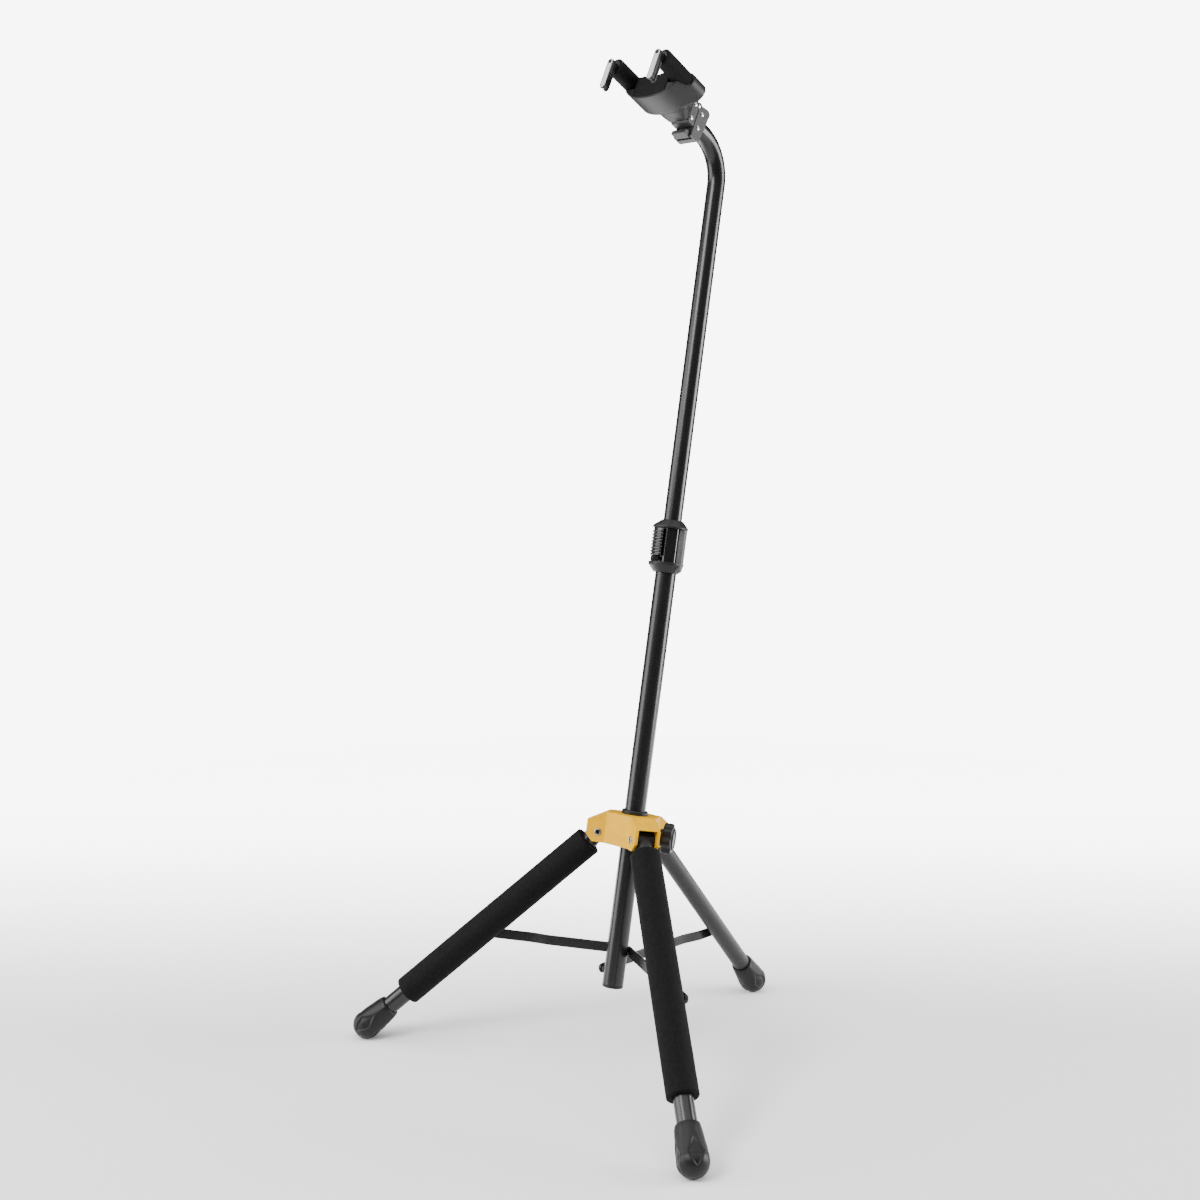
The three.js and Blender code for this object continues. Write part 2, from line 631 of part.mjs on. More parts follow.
function upperHingeBlock() {
  const side = [
    [SPLIT + GAP, -12], [39, -12], [41, -10], [41, FOLD_PIN_LIFT + 0.5],
    [38.5, FOLD_PIN_LIFT + 4], [SPLIT + 4.5, FOLD_PIN_LIFT + 4], [SPLIT + GAP, FOLD_PIN_LIFT - 1],
  ];
  const middle = KNUCKLE + 1;
  return cut(
    join(
      cut(
        acrossSlab(side, -BLOCK_HALF, BLOCK_HALF),
        foldBar(KNUCKLE + GAP, middle, 20),
        foldBar(KNUCKLE + GAP, -20, -middle),
      ),
      foldBar(KNUCKLE, -middle, middle),
      yokeBlock(RAIL.half, 40, RAIL.front, RAIL.bottom, RAIL.top),
    ),
    foldBar(PIN_RADIUS + GAP, -20, 20),
    ...screwHoles(UPPER_SCREWS),
  );
}

// A through screw with a domed head on each side.
function addScrews(prefix, set) {
  set.z.forEach((z, i) => {
    const head = (side) => turned([
      [0, BLOCK_HALF + GAP],
      [2.9, BLOCK_HALF + GAP],
      [2.5, BLOCK_HALF + 1.1],
      [0, BLOCK_HALF + 1.5],
    ], 16).rotateY((side * Math.PI) / 2).translate(0, -set.v, z);
    const shank = crossBar(1.9, -BLOCK_HALF - 0.6, BLOCK_HALF + 0.6, -set.v, z, 12);
    add(yoke, `${prefix}_${i + 1}`, join(shank, head(1), head(-1)), zincSteel);
  });
}

add(yoke, 'hinge_lower_block', lowerHingeBlock(), greyPlastic);
add(yoke, 'hinge_upper_block', upperHingeBlock(), greyPlastic);
add(yoke, 'hinge_pin', foldBar(PIN_RADIUS, -BLOCK_HALF, BLOCK_HALF), zincSteel);
addScrews('lower_hinge_screw', LOWER_SCREWS);
addScrews('upper_hinge_screw', UPPER_SCREWS);
add(yoke, 'hinge_latch', acrossSlab([
  [23, -10], [27.5, -10], [28.4, -17.6], [36.5, -19.2], [37.5, -24.5], [27, -25.5], [23, -21],
], -10.4, 10.4), greyPlastic);

// ---------------------------------------------------------------- yoke cradle
// The cradle's lower outline across the arms is half an ellipse.
const CRADLE_HALF = 40.5;
const CRADLE_DEPTH = 22;
const CRADLE_TOP = 12;
const PAD_HALF = 24.4;
const PAD_BACK = 96;

function cradleArc(scale, forward) {
  const points = [];
  for (let i = 0; i <= 12; i += 1) {
    const angle = Math.PI * (i / 12);
    const x = -CRADLE_HALF * scale * Math.cos(angle);
    points.push(new THREE.Vector3(x, -forward, 2 - CRADLE_DEPTH * scale * Math.sin(angle)));
  }
  return points;
}

function circlePoints(radius, forward, x, z) {
  return Array.from({ length: 20 }, (_, i) => {
    const angle = (2 * Math.PI * i) / 20;
    return new THREE.Vector3(x + radius * Math.cos(angle), -forward, z + radius * Math.sin(angle));
  });
}

// The plate of the neck pad up to the forward distance v1, or the room for it when it is grown.
function padPlate(grow, v1) {
  const half = PAD_HALF + grow;
  const front = new THREE.Shape();
  front.moveTo(-half, 40);
  front.lineTo(-half, -13 - grow);
  front.quadraticCurveTo(0, -21 - grow, half, -13 - grow);
  front.lineTo(half, 40);
  front.closePath();
  return slab(front, PAD_BACK - grow, v1).rotateX(Math.PI / 2);
}

// The room between the deck and an arm, where the cradle is open down to its rim.
function openSide(side) {
  const [x0, x1] = [side * (PAD_HALF - 1.4), (side * ARM_SPACING) / 2].sort((a, b) => a - b);
  return block(x0, x1, -RIM - 5, -SOCKET_FRONT, -4, 40);
}

function cradleHousing() {
  const arms = [-ARM_SPACING / 2, ARM_SPACING / 2];
  const socketRing = (forward) => arms.flatMap((x) => circlePoints(SOCKET_RADIUS, forward, x, ARM_LIFT));
  const scoop = new ConvexGeometry([
    ...cradleArc(1, RIM),
    ...cradleArc(1, 68),
    ...cradleArc(0.8, SOCKET_BACK + 1),
    new THREE.Vector3(-PAD_HALF, -RIM, CRADLE_TOP),
    new THREE.Vector3(PAD_HALF, -RIM, CRADLE_TOP),
    ...socketRing(SOCKET_FRONT),
    ...socketRing(SOCKET_BACK),
  ]);
  const neck = new ConvexGeometry([
    ...cradleArc(0.72, 66),
    new THREE.Vector3(-26, -66, 16),
    new THREE.Vector3(26, -66, 16),
    ...[-1, 1].flatMap((side) => [
      new THREE.Vector3(side * BLOCK_HALF, -41.3, -9),
      new THREE.Vector3(side * BLOCK_HALF, -41.3, 14),
      new THREE.Vector3(side * (BLOCK_HALF - 2), -43.8, -13),
      new THREE.Vector3(side * BLOCK_HALF, -46, 16),
    ]),
  ]);
  const topDeck = yokeBlock(PAD_HALF - 1, 40, RIM + 1, CRADLE_TOP, 40);
  const railPocket = yokeBlock(RAIL.half + 0.4, 35, RAIL.front + 1, RAIL.bottom - 0.4, RAIL.top + 8);
  return cut(
    join(scoop, neck),
    topDeck,
    railPocket,
    padPlate(GAP, RIM + 5),
    ...arms.map((x) => forwardBar(ARM_FOAM_RADIUS + 0.4, SOCKET_FRONT, RIM + 5, x, ARM_LIFT)),
    ...[-1, 1].map((side) => openSide(side)),
    ...arms.map((x) => forwardBar(CORE_RADIUS + GAP, 70, SOCKET_FRONT + 5, x, ARM_LIFT)),
    ...arms.map((x) => forwardBar(9.4, 63.5, 74, x, ARM_LIFT)),
    ...arms.map((x) => block(x - 1.5, x + 1.5, -73.5, -63.5, ARM_LIFT, 30)),
  );
}

add(yoke, 'yoke_cradle', cradleHousing(), greyPlastic);

// The deck plate closes the top between the sockets.
const deckOutline = polygon([
  [-PAD_HALF + 4, -PAD_BACK + 0.6], [PAD_HALF - 4, -PAD_BACK + 0.6], [PAD_HALF - 1.6, -PAD_BACK + 4],
  [PAD_HALF - 1.6, -62], [12, -45], [-12, -45], [-PAD_HALF + 1.6, -62], [-PAD_HALF + 1.6, -PAD_BACK + 4],
]);
add(yoke, 'yoke_deck_plate', slab(deckOutline, CRADLE_TOP + GAP, CRADLE_TOP + 2.6), greyPlastic);

// The neck pad fills the front of the cradle, between the arms.
function neckPad() {
  const saddle = bar(70, -60, 60, 64).translate(0, -RIM - 0.6 - 68.6, 0);
  const aboveDeck = yokeBlock(60, PAD_BACK - 5, RIM + 5, 11, 60);
  return cut(padPlate(0, RIM + 0.6), saddle, aboveDeck, ...[-1, 1].map((side) => (
    forwardBar(ARM_FOAM_RADIUS + 0.4, PAD_BACK - 5, RIM + 5, side * (ARM_SPACING / 2), ARM_LIFT)
  )));
}

add(yoke, 'neck_pad', neckPad(), padRubber);
add(yoke, 'yoke_spring', spring(3.4, 0.6, RAIL.top + 1, RAIL.top + 7.2, 3).translate(0, -48, 0), zincSteel);

// ---------------------------------------------------------------- arms and grip fingers
const FINGER_HALF = 5.2;
const FINGER_BACK = 132;
const FINGER_FRONT = 141.5;
const FINGER_TOP = 5.4;
const FINGER_TIP = 34.6;

// A finger turns about its shaft, so its parts are drawn round that axis.
function addFinger(name, side) {
  const axis = new THREE.Group();
  axis.position.set((side * ARM_SPACING) / 2, 0, ARM_LIFT);
  yoke.add(axis);
  const facing = (shape, v0, v1) => slab(shape, v0, v1, 4).rotateX(Math.PI / 2);
  const shaftHole = () => forwardBar(SHAFT_RADIUS + GAP, 60, 150, 0, 0, 16);
  add(axis, `arm_core_${name}`, cut(
    forwardBar(CORE_RADIUS, 74.4, FINGER_BACK - GAP, 0, 0),
    shaftHole(),
  ), blackPaint);
  add(axis, `arm_foam_${name}`, cut(
    forwardBar(ARM_FOAM_RADIUS, SOCKET_FRONT + GAP, FINGER_BACK - 1, 0, 0),
    forwardBar(CORE_RADIUS + GAP, 70, 140, 0, 0),
  ), foamBlack);
  const outline = (inset) => roundEnded(FINGER_HALF - inset, inset - FINGER_TIP, FINGER_TOP - inset);
  const body = facing(outline(0), FINGER_BACK, FINGER_FRONT);
  const faceRoom = facing(outline(1.2), FINGER_FRONT - 1, FINGER_FRONT + 5);
  add(axis, `grip_finger_${name}`, cut(body, faceRoom, shaftHole()), darkPlastic);
  const face = facing(outline(1.5), FINGER_FRONT - 0.7, FINGER_FRONT + 0.8);
  add(axis, `finger_face_${name}`, cut(face, shaftHole()), lightPlastic);
  add(axis, `finger_shaft_${name}`, join(
    forwardBar(SHAFT_RADIUS, 67, FINGER_FRONT + 1.2, 0, 0, 16),
    forwardBar(8.6, 65.5, 69, 0, 0, 20),
  ), darkPlastic);
}

addFinger('left', -1);
addFinger('right', 1);

// ---------------------------------------------------------------- origin in the middle of the feet
model.position.y = -(footCentreY(LEGS[0]) + footCentreY(LEGS[2])) / 2;

export default model;
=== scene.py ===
# A folding tripod guitar stand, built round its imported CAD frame. Shapes are drawn in millimetres in
# the frame of the joint they belong to, and become metres when a piece is made.
import json
import math

import bmesh
import bpy
from mathutils import Matrix, Vector, noise


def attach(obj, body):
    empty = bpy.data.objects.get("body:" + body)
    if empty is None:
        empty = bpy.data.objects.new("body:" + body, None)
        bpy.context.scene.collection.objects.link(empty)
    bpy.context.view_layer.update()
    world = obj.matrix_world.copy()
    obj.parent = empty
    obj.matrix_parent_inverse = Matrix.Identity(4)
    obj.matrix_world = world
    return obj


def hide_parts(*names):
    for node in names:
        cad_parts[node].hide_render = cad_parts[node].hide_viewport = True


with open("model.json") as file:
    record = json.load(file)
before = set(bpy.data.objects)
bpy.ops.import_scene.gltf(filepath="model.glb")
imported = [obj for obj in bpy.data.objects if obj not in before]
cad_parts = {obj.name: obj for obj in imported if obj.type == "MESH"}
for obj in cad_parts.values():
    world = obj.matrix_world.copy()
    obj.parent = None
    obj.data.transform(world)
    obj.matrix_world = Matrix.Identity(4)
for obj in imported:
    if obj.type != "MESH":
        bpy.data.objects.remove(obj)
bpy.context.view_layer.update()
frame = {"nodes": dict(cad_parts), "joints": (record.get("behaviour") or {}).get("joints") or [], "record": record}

MM = 0.001
GAP = 0.3
RECORD = frame["record"]
JOINTS = {joint["name"]: joint for joint in frame["joints"]}
BODY_OF = {node: body for body, nodes in RECORD["behaviour"]["bodies"].items() for node in nodes}
SLOT_OF = {part["node"]: part["material_slot"] for part in RECORD["subparts"]}
SOLES = {mount["name"]: Vector(mount["pos_m"]) for mount in RECORD["mounts"]}

# ---------------------------------------------------------------- driving dimensions, millimetres
MAST_RADIUS, MAST_WALL = 12.7, 1.2
UPPER_RADIUS, UPPER_WALL = 11.1, 1.3
S_MAST_BOTTOM, S_MAST_TOP = 90, 604
S_UPPER_BOTTOM, S_BEND = 524, 1065.5
BEND_RADIUS, BEND_ANGLE, NECK_END = 54, math.radians(75), 16
S_HUB, PIVOT_RADIUS = 270.3, 39.4
HUB_BOTTOM, HUB_TOP, HUB_BORE = 258, 296, 14.6
CHEEK_INNER, CHEEK_OUTER, CLEVIS_REACH, WALL_START = 11.7, 15.5, 54, 31
LOCK_HEIGHT, LOCK_TURN = 273, 120
LEG_RADIUS, LEG_WALL, LEG_TUBE_TOP = 11.1, 1.2, 14.3
LEG_PIN_RADIUS = 3
FOOT_RADIUS, FOOT_FLAT, FOOT_TOP, FOOT_FLOOR = 18, 1, 38, 8
FOAM_RADIUS, FOAM_TOP, FOAM_BOTTOM = 18, 19, 317
STRAP_HEIGHT, STRAP_THICK = 12, 2.5
CLUTCH_BOTTOM, CLUTCH_TOP, CLUTCH_RADIUS = 590, 654, 21.4
CLUTCH_TURN, CLUTCH_SHOULDER, COLLAR_TOP, CLUTCH_BORE = -45, 643.6, 602.7, 13.5
LEVER_BOTTOM, LEVER_TOP, LEVER_RIBS, RIB_PITCH = 603, 643, 8, 4
ARM_SPACING, ARM_LIFT = 71, 7
SPLIT, BLOCK_HALF, FOLD_PIN_LIFT = 29, 13.5, 15.5
KNUCKLE, MIDDLE_KNUCKLE, PIN_RADIUS = 4.6, 5.6, 2.2
LOWER_SCREWS = {"forward": 21, "heights": (9.5, -9)}
UPPER_SCREWS = {"forward": 36.5, "heights": (13, -5)}
SOCKET_RADIUS, SOCKET_BACK, SOCKET_FRONT, RIM = 12.1, 61, 84, 102
CRADLE_HALF, CRADLE_DEPTH, CRADLE_TOP = 40.5, 22, 12
PAD_HALF, PAD_BACK, PAD_TOP = 24.4, 96, 11
ARM_FOAM_RADIUS, CORE_RADIUS, SHAFT_RADIUS = 10.8, 7, 2.6
FINGER_HALF, FINGER_BACK, FINGER_FRONT = 4.1, 132, 141.5
FINGER_TOP, FINGER_TIP = 4.6, 34.6
LEGS = {
    "left": {"turn": -60, "side": -1, "foam": True},
    "right": {"turn": 60, "side": 1, "foam": True},
    "rear": {"turn": 180, "side": 1, "foam": False},
}
FRONT_STRAP = {"pin_down": 203, "at_mast": 15, "at_leg": 19.8, "joggle": (85, 115)}
REAR_STRAP = {"pin_down": 211, "at_mast": 19, "at_leg": 13.9, "joggle": (150, 185)}


# ---------------------------------------------------------------- frames
def axes(x, z, origin):
    """A frame with these X and Z directions at origin, in metres."""
    x, z = x.normalized(), z.normalized()
    y = z.cross(x)
    rows = [(x[i], y[i], z[i], origin[i]) for i in range(3)]
    return Matrix((*rows, (0, 0, 0, 1)))


def joint_point(name):
    return Vector(JOINTS[name]["pos_m"])


def joint_axis(name):
    return Vector(JOINTS[name]["axis"]).normalized()


WORLD_X = Vector((1, 0, 0))
MAST = axes(
    WORLD_X,
    joint_axis("mast_swivel"),
    joint_point("mast_swivel") - joint_axis("mast_swivel") * S_MAST_TOP * MM,
)
YOKE = axes(WORLD_X, WORLD_X.cross(-joint_axis("yoke_swivel")), joint_point("yoke_swivel"))
CLUTCH = MAST @ Matrix.Rotation(math.radians(CLUTCH_TURN), 4, "Z")
LOCK = axes(
    joint_axis("hub_slide"), joint_axis("lock_turn"), MAST @ (Vector((0, 0, LOCK_HEIGHT)) * MM))


def leg_frame(name):
    """Z points up the leg from its foot, and the origin is the leg's pivot."""
    ball = SOLES["sole_" + name] + Vector((0, 0, FOOT_RADIUS - FOOT_FLAT)) * MM
    pivot = joint_point(f"leg_{name}_fold")
    return axes(joint_axis(f"leg_{name}_fold"), pivot - ball, pivot), (pivot - ball).length / MM


def strap_frame(name, leg, pin_down):
    """-Y points along the strap from its pin on the mast to its pin on the leg."""
    x = -joint_axis(f"strap_{name}_fold")
    start = joint_point(f"strap_{name}_fold")
    run = leg @ (Vector((0, 0, -pin_down)) * MM) - start
    run -= x * run.dot(x)
    return axes(x, x.cross(-run), start), run.length / MM


# ---------------------------------------------------------------- mesh building
def rounded(points, radius, steps=4, closed=True):
    """An outline with its corners rounded. A corner may give its own radius as a third number."""
    out = []
    count = len(points)
    for i, point in enumerate(points):
        here = Vector(point[:2])
        r = point[2] if len(point) > 2 else radius
        if r <= 0 or (not closed and i in (0, count - 1)):
            out.append(here)
            continue
        before = Vector(points[i - 1][:2]) - here
        after = Vector(points[(i + 1) % count][:2]) - here
        half = before.angle(after) / 2
        if half > 1.55:
            out.append(here)
            continue
        reach = min(r / math.tan(half), 0.48 * before.length, 0.48 * after.length)
        first = here + before.normalized() * reach
        last = here + after.normalized() * reach
        for k in range(steps + 1):
            t = k / steps
            out.append(first * (1 - t) ** 2 + here * 2 * t * (1 - t) + last * t * t)
    return out


def grid_mesh(rings, closed_ends=False):
    """Vertices and faces of a skin over rings of equally many points; a ring of one is a pole."""
    verts, spans = [], []
    for ring in rings:
        spans.append(range(len(verts), len(verts) + len(ring)))
        verts.extend(Vector(p) for p in ring)
    faces = []
    for a, b in zip(spans, spans[1:]):
        n = max(len(a), len(b))
        for i in range(n):
            j = (i + 1) % n
            if len(a) == 1:
                faces.append((a[0], b[j], b[i]))
            elif len(b) == 1:
                faces.append((a[i], a[j], b[0]))
            else:
                faces.append((a[i], a[j], b[j], b[i]))
    if closed_ends:
        faces.append(tuple(reversed(spans[0])))
        faces.append(tuple(spans[-1]))
    return verts, faces


def circle(radius, z, sides):
    if radius < 1e-6:
        return [(0, 0, z)]
    steps = [2 * math.pi * i / sides for i in range(sides)]
    return [(radius * math.cos(a), radius * math.sin(a), z) for a in steps]


def lathe(profile, sides=80, ring=False):
    """A body of revolution round Z from (radius, z); ring means that the profile closes on itself."""
    points = [*profile, profile[0]] if ring else profile
    return grid_mesh([circle(r, z, sides) for r, z in points])


def tube(inner, outer, z0, z1, edge=0.4, sides=80):
    return lathe(rounded([(inner, z0), (outer, z0), (outer, z1), (inner, z1)], edge), sides, ring=True)


def rod(radius, z0, z1, edge=0.2, sides=48):
    return lathe(rounded([(0, z0), (radius, z0), (radius, z1), (0, z1)], edge, closed=False), sides)


def prism(outline, z0, z1, edge=0.0, segments=3):
    """An outline in X and Y, extruded from z0 to z1, with its rims rounded by edge."""
    bm = bmesh.new()
    base = [bm.verts.new((p[0], p[1], z0)) for p in outline]
    floor = bm.faces.new(base)
    grown = bmesh.ops.extrude_face_region(bm, geom=[floor])
    top = [v for v in grown["geom"] if isinstance(v, bmesh.types.BMVert)]
    bmesh.ops.translate(bm, vec=(0, 0, z1 - z0), verts=top)
    bmesh.ops.recalc_face_normals(bm, faces=bm.faces)
    if edge:
        rims = [e for e in bm.edges if abs(e.verts[0].co.z - e.verts[1].co.z) < 1e-6]
        bmesh.ops.bevel(bm, geom=rims, offset=edge, segments=segments, profile=0.5, affect="EDGES")
    return take(bm)


def take(bm):
    """Turns a bmesh into a part, and frees it."""
    bm.verts.index_update()
    verts = [v.co.copy() for v in bm.verts]
    faces = [tuple(v.index for v in f.verts) for f in bm.faces]
    bm.free()
    return verts, faces


def placed(part, matrix):
    """A part moved by a matrix in millimetres."""
    return [matrix @ Vector(v) for v in part[0]], part[1]


def merged(*parts):
    """Parts in one mesh, as they are."""
    verts, faces = [], []
    for part_verts, part_faces in parts:
        start = len(verts)
        verts.extend(part_verts)
        faces.extend(tuple(i + start for i in face) for face in part_faces)
    return verts, faces


def shift(x=0, y=0, z=0):
    return Matrix.Translation((x, y, z))


def turn(degrees, axis):
    return Matrix.Rotation(math.radians(degrees), 4, axis)


def to_side(side):
    """The half turn that takes a part drawn for the +X side to this side."""
    return turn(0 if side > 0 else 180, "Z")


def crosswise(part, y=0, z=0):
    """Lays a part that stands on Z along X."""
    return placed(part, shift(0, y, z) @ turn(90, "Y"))


def forward(part, x=0, z=0):
    """Lays a part that stands on Z along -Y, so that its z is a forward distance."""
    return placed(part, shift(x, 0, z) @ turn(90, "X"))


def box(x0, x1, y0, y1, z0, z1, edge=0.0):
    return prism([(x0, y0), (x1, y0), (x1, y1), (x0, y1)], z0, z1, edge)


def yoke_box(half, v0, v1, z0, z1, edge=0.0):
    return box(-half, half, -v1, -v0, z0, z1, edge)


def across(points, x0, x1, edge=0.0):
    """An outline in forward distance and Z, extruded across from x0 to x1."""
    v, f = prism(points, x0, x1, edge)
    return [Vector((p.z, -p.x, p.y)) for p in v], f


def hull(points):
    """The convex solid round some points."""
    bm = bmesh.new()
    for p in points:
        bm.verts.new(p)
    bmesh.ops.convex_hull(bm, input=bm.verts)
    loose = [v for v in bm.verts if not v.link_faces]
    bmesh.ops.delete(bm, geom=loose, context="VERTS")
    return take(bm)


def outward(mesh):
    """Joins doubled vertices and turns every face outward."""
    bm = bmesh.new()
    bm.from_mesh(mesh)
    bmesh.ops.remove_doubles(bm, verts=bm.verts, dist=1e-7)
    bmesh.ops.recalc_face_normals(bm, faces=bm.faces)
    bm.to_mesh(mesh)
    bm.free()


def new_object(name, part, matrix=None):
    """An object at the origin, whose mesh is the part as placed by the matrix."""
    mesh = bpy.data.meshes.new(name)
    place = matrix or Matrix.Identity(4)
    mesh.from_pydata([place @ (Vector(v) * MM) for v in part[0]], [], part[1])
    outward(mesh)
    obj = bpy.data.objects.new(name, mesh)
    bpy.context.scene.collection.objects.link(obj)
    return obj


def bake(obj):
    """Turns an object's modifiers into its mesh."""
    evaluated = obj.evaluated_get(bpy.context.evaluated_depsgraph_get())
    mesh = bpy.data.meshes.new_from_object(evaluated)
    old = obj.data
    obj.modifiers.clear()
    obj.data = mesh
    bpy.data.meshes.remove(old)


def carved(base, joins=(), within=(), cuts=()):
    """A part after joining, clipping and cutting with other parts."""
    body = new_object("carving", base)
    helpers = []
    for operation, tools in (("UNION", joins), ("INTERSECT", within), ("DIFFERENCE", cuts)):
        for tool in tools:
            helper = new_object("tool", tool)
            step = body.modifiers.new("step", "BOOLEAN")
            step.operation, step.object, step.solver = operation, helper, "EXACT"
            helpers.append(helper)
    bake(body)
    part = [v.co / MM for v in body.data.vertices], [tuple(p.vertices) for p in body.data.polygons]
    for used in [*helpers, body]:
        mesh = used.data
        bpy.data.objects.remove(used)
        bpy.data.meshes.remove(mesh)
    return part


def soften(obj, voxel=0.5, rounds=4, keep=0.4):
    """Rounds the edges of a moulded or cast piece: an even skin, smoothed, then thinned out."""
    skin = obj.modifiers.new("skin", "REMESH")
    skin.mode, skin.voxel_size = "VOXEL", voxel * MM
    smooth = obj.modifiers.new("smooth", "SMOOTH")
    smooth.factor, smooth.iterations = 0.5, rounds
    thin = obj.modifiers.new("thin", "DECIMATE")
    thin.ratio = keep
    bake(obj)


def finish_piece(obj, node, material, body=None):
    """Shades a piece, and lets it stand for a CAD node."""
    obj.data.materials.clear()
    obj.data.materials.append(material)
    for polygon in obj.data.polygons:
        polygon.use_smooth = True
    obj.data.set_sharp_from_angle(angle=math.radians(40))
    even = obj.modifiers.new("even", "WEIGHTED_NORMAL")
    even.keep_sharp = True
    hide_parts(node)
    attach(obj, body or BODY_OF[node])
    return obj


def piece(node, part, matrix, material, tag="look", soft=None):
    """Makes the piece that stands for a CAD node."""
    obj = new_object(f"{node}_{tag}", part, matrix)
    if soft:
        soften(obj, *soft)
    return finish_piece(obj, node, material)


# ---------------------------------------------------------------- materials
def material(name, colour, dark, rough, metallic=0.0, specular=0.5, coat=0.0, coat_rough=0.1,
             mottle=60, mottle_depth=1.0, grain=900, grain_depth=0.0, grain_size=0.00008,
             rough_swing=0.06, sheen=0.0, cells=False):
    """A finish that drifts between two colours, with its own roughness drift and fine relief."""
    made = bpy.data.materials.new(name)
    made.use_nodes = True
    nodes, links = made.node_tree.nodes, made.node_tree.links
    shader = nodes["Principled BSDF"]
    shader.inputs["Metallic"].default_value = metallic
    shader.inputs["Specular IOR Level"].default_value = specular
    shader.inputs["Coat Weight"].default_value = coat
    shader.inputs["Coat Roughness"].default_value = coat_rough
    shader.inputs["Sheen Weight"].default_value = sheen
    shader.inputs["Sheen Roughness"].default_value = 0.6
    where = nodes.new("ShaderNodeTexCoord")

    drift = nodes.new("ShaderNodeTexNoise")
    drift.inputs["Scale"].default_value = mottle
    drift.inputs["Detail"].default_value = 5
    links.new(where.outputs["Object"], drift.inputs["Vector"])
    ramp = nodes.new("ShaderNodeValToRGB")
    ramp.color_ramp.elements[0].position = 0.5 - 0.2 * mottle_depth
    ramp.color_ramp.elements[1].position = 0.5 + 0.2 * mottle_depth
    ramp.color_ramp.elements[0].color = (*dark, 1)
    ramp.color_ramp.elements[1].color = (*colour, 1)
    links.new(drift.outputs["Fac"], ramp.inputs["Fac"])
    links.new(ramp.outputs["Color"], shader.inputs["Base Color"])

    wear = nodes.new("ShaderNodeMapRange")
    wear.inputs["To Min"].default_value = max(rough - rough_swing, 0.02)
    wear.inputs["To Max"].default_value = min(rough + rough_swing, 1.0)
    smudge = nodes.new("ShaderNodeTexNoise")
    smudge.inputs["Scale"].default_value = mottle * 0.6
    smudge.inputs["Detail"].default_value = 4
    links.new(where.outputs["Object"], smudge.inputs["Vector"])
    links.new(smudge.outputs["Fac"], wear.inputs["Value"])
    links.new(wear.outputs["Result"], shader.inputs["Roughness"])

    if grain_depth:
        relief = nodes.new("ShaderNodeTexVoronoi" if cells else "ShaderNodeTexNoise")
        relief.inputs["Scale"].default_value = grain
        links.new(where.outputs["Object"], relief.inputs["Vector"])
        bump = nodes.new("ShaderNodeBump")
        bump.inputs["Strength"].default_value = grain_depth
        bump.inputs["Distance"].default_value = grain_size
        links.new(relief.outputs["Distance" if cells else "Fac"], bump.inputs["Height"])
        links.new(bump.outputs["Normal"], shader.inputs["Normal"])
    return made


gloss_paint = material(
    "gloss_black_paint", (0.007, 0.007, 0.0075), (0.005, 0.005, 0.0055), 0.27, specular=0.38,
    mottle=25, rough_swing=0.02, grain=260, grain_depth=0.05, grain_size=0.00003)
satin_paint = material(
    "satin_leg_paint", (0.018, 0.018, 0.019), (0.014, 0.014, 0.015), 0.44, specular=0.3,
    mottle=30, rough_swing=0.03, grain=500, grain_depth=0.06)
yellow_paint = material(
    "yellow_casting_paint", (0.66, 0.345, 0.0004), (0.58, 0.295, 0.0003), 0.45, specular=0.1, mottle=90,
    mottle_depth=0.9, grain=520, grain_depth=0.3, grain_size=0.0001)
moulded_dark = material(
    "moulded_dark_plastic", (0.011, 0.011, 0.0115), (0.008, 0.008, 0.0085), 0.45, specular=0.24,
    mottle=70, grain=1500, grain_depth=0.3)
moulded_grey = material(
    "moulded_grey_plastic", (0.013, 0.013, 0.0135), (0.01, 0.01, 0.0105), 0.45, specular=0.22,
    mottle=70, grain=1500, grain_depth=0.25)
spine_grey = material(
    "matte_grey_plastic", (0.09, 0.09, 0.092), (0.07, 0.07, 0.072), 0.55, specular=0.3, mottle=90,
    grain=1700, grain_depth=0.4)
polished_black = material(
    "polished_black_plastic", (0.007, 0.007, 0.008), (0.005, 0.005, 0.006), 0.12, specular=0.5,
    mottle=40, rough_swing=0.03)
light_plastic = material(
    "light_grey_plastic", (0.5, 0.5, 0.495), (0.43, 0.43, 0.425), 0.42, mottle=120,
    grain=1600, grain_depth=0.3)
lever_black = material(
    "ribbed_black_plastic", (0.014, 0.014, 0.015), (0.01, 0.01, 0.011), 0.24, mottle=60,
    rough_swing=0.04, grain=900, grain_depth=0.1)
hinge_grey = material(
    "hinge_grey_plastic", (0.042, 0.042, 0.043), (0.034, 0.034, 0.035), 0.45, specular=0.22,
    mottle=70, grain=1500, grain_depth=0.3)
foot_rubber = material(
    "foot_rubber", (0.007, 0.007, 0.0072), (0.005, 0.005, 0.0052), 0.42, specular=0.22, mottle=80,
    grain=1300, grain_depth=0.4, grain_size=0.0001)
pad_rubber = material(
    "pad_rubber", (0.0065, 0.0065, 0.0065), (0.0045, 0.0045, 0.0045), 0.7, specular=0.08, mottle=90,
    grain=1400, grain_depth=0.4)
foam = material(
    "closed_cell_foam", (0.005, 0.005, 0.005), (0.003, 0.003, 0.003), 0.8, specular=0.1,
    mottle=260, mottle_depth=0.7, grain=1250, grain_depth=0.6, grain_size=0.0002, cells=True)
zinc = material(
    "zinc_plated_steel", (0.66, 0.67, 0.68), (0.55, 0.56, 0.57), 0.28, metallic=1.0, mottle=400,
    grain=900, grain_depth=0.15)
rivet_metal = material(
    "dull_rivet_steel", (0.34, 0.335, 0.33), (0.25, 0.247, 0.243), 0.36, metallic=1.0, mottle=400,
    grain=900, grain_depth=0.15)
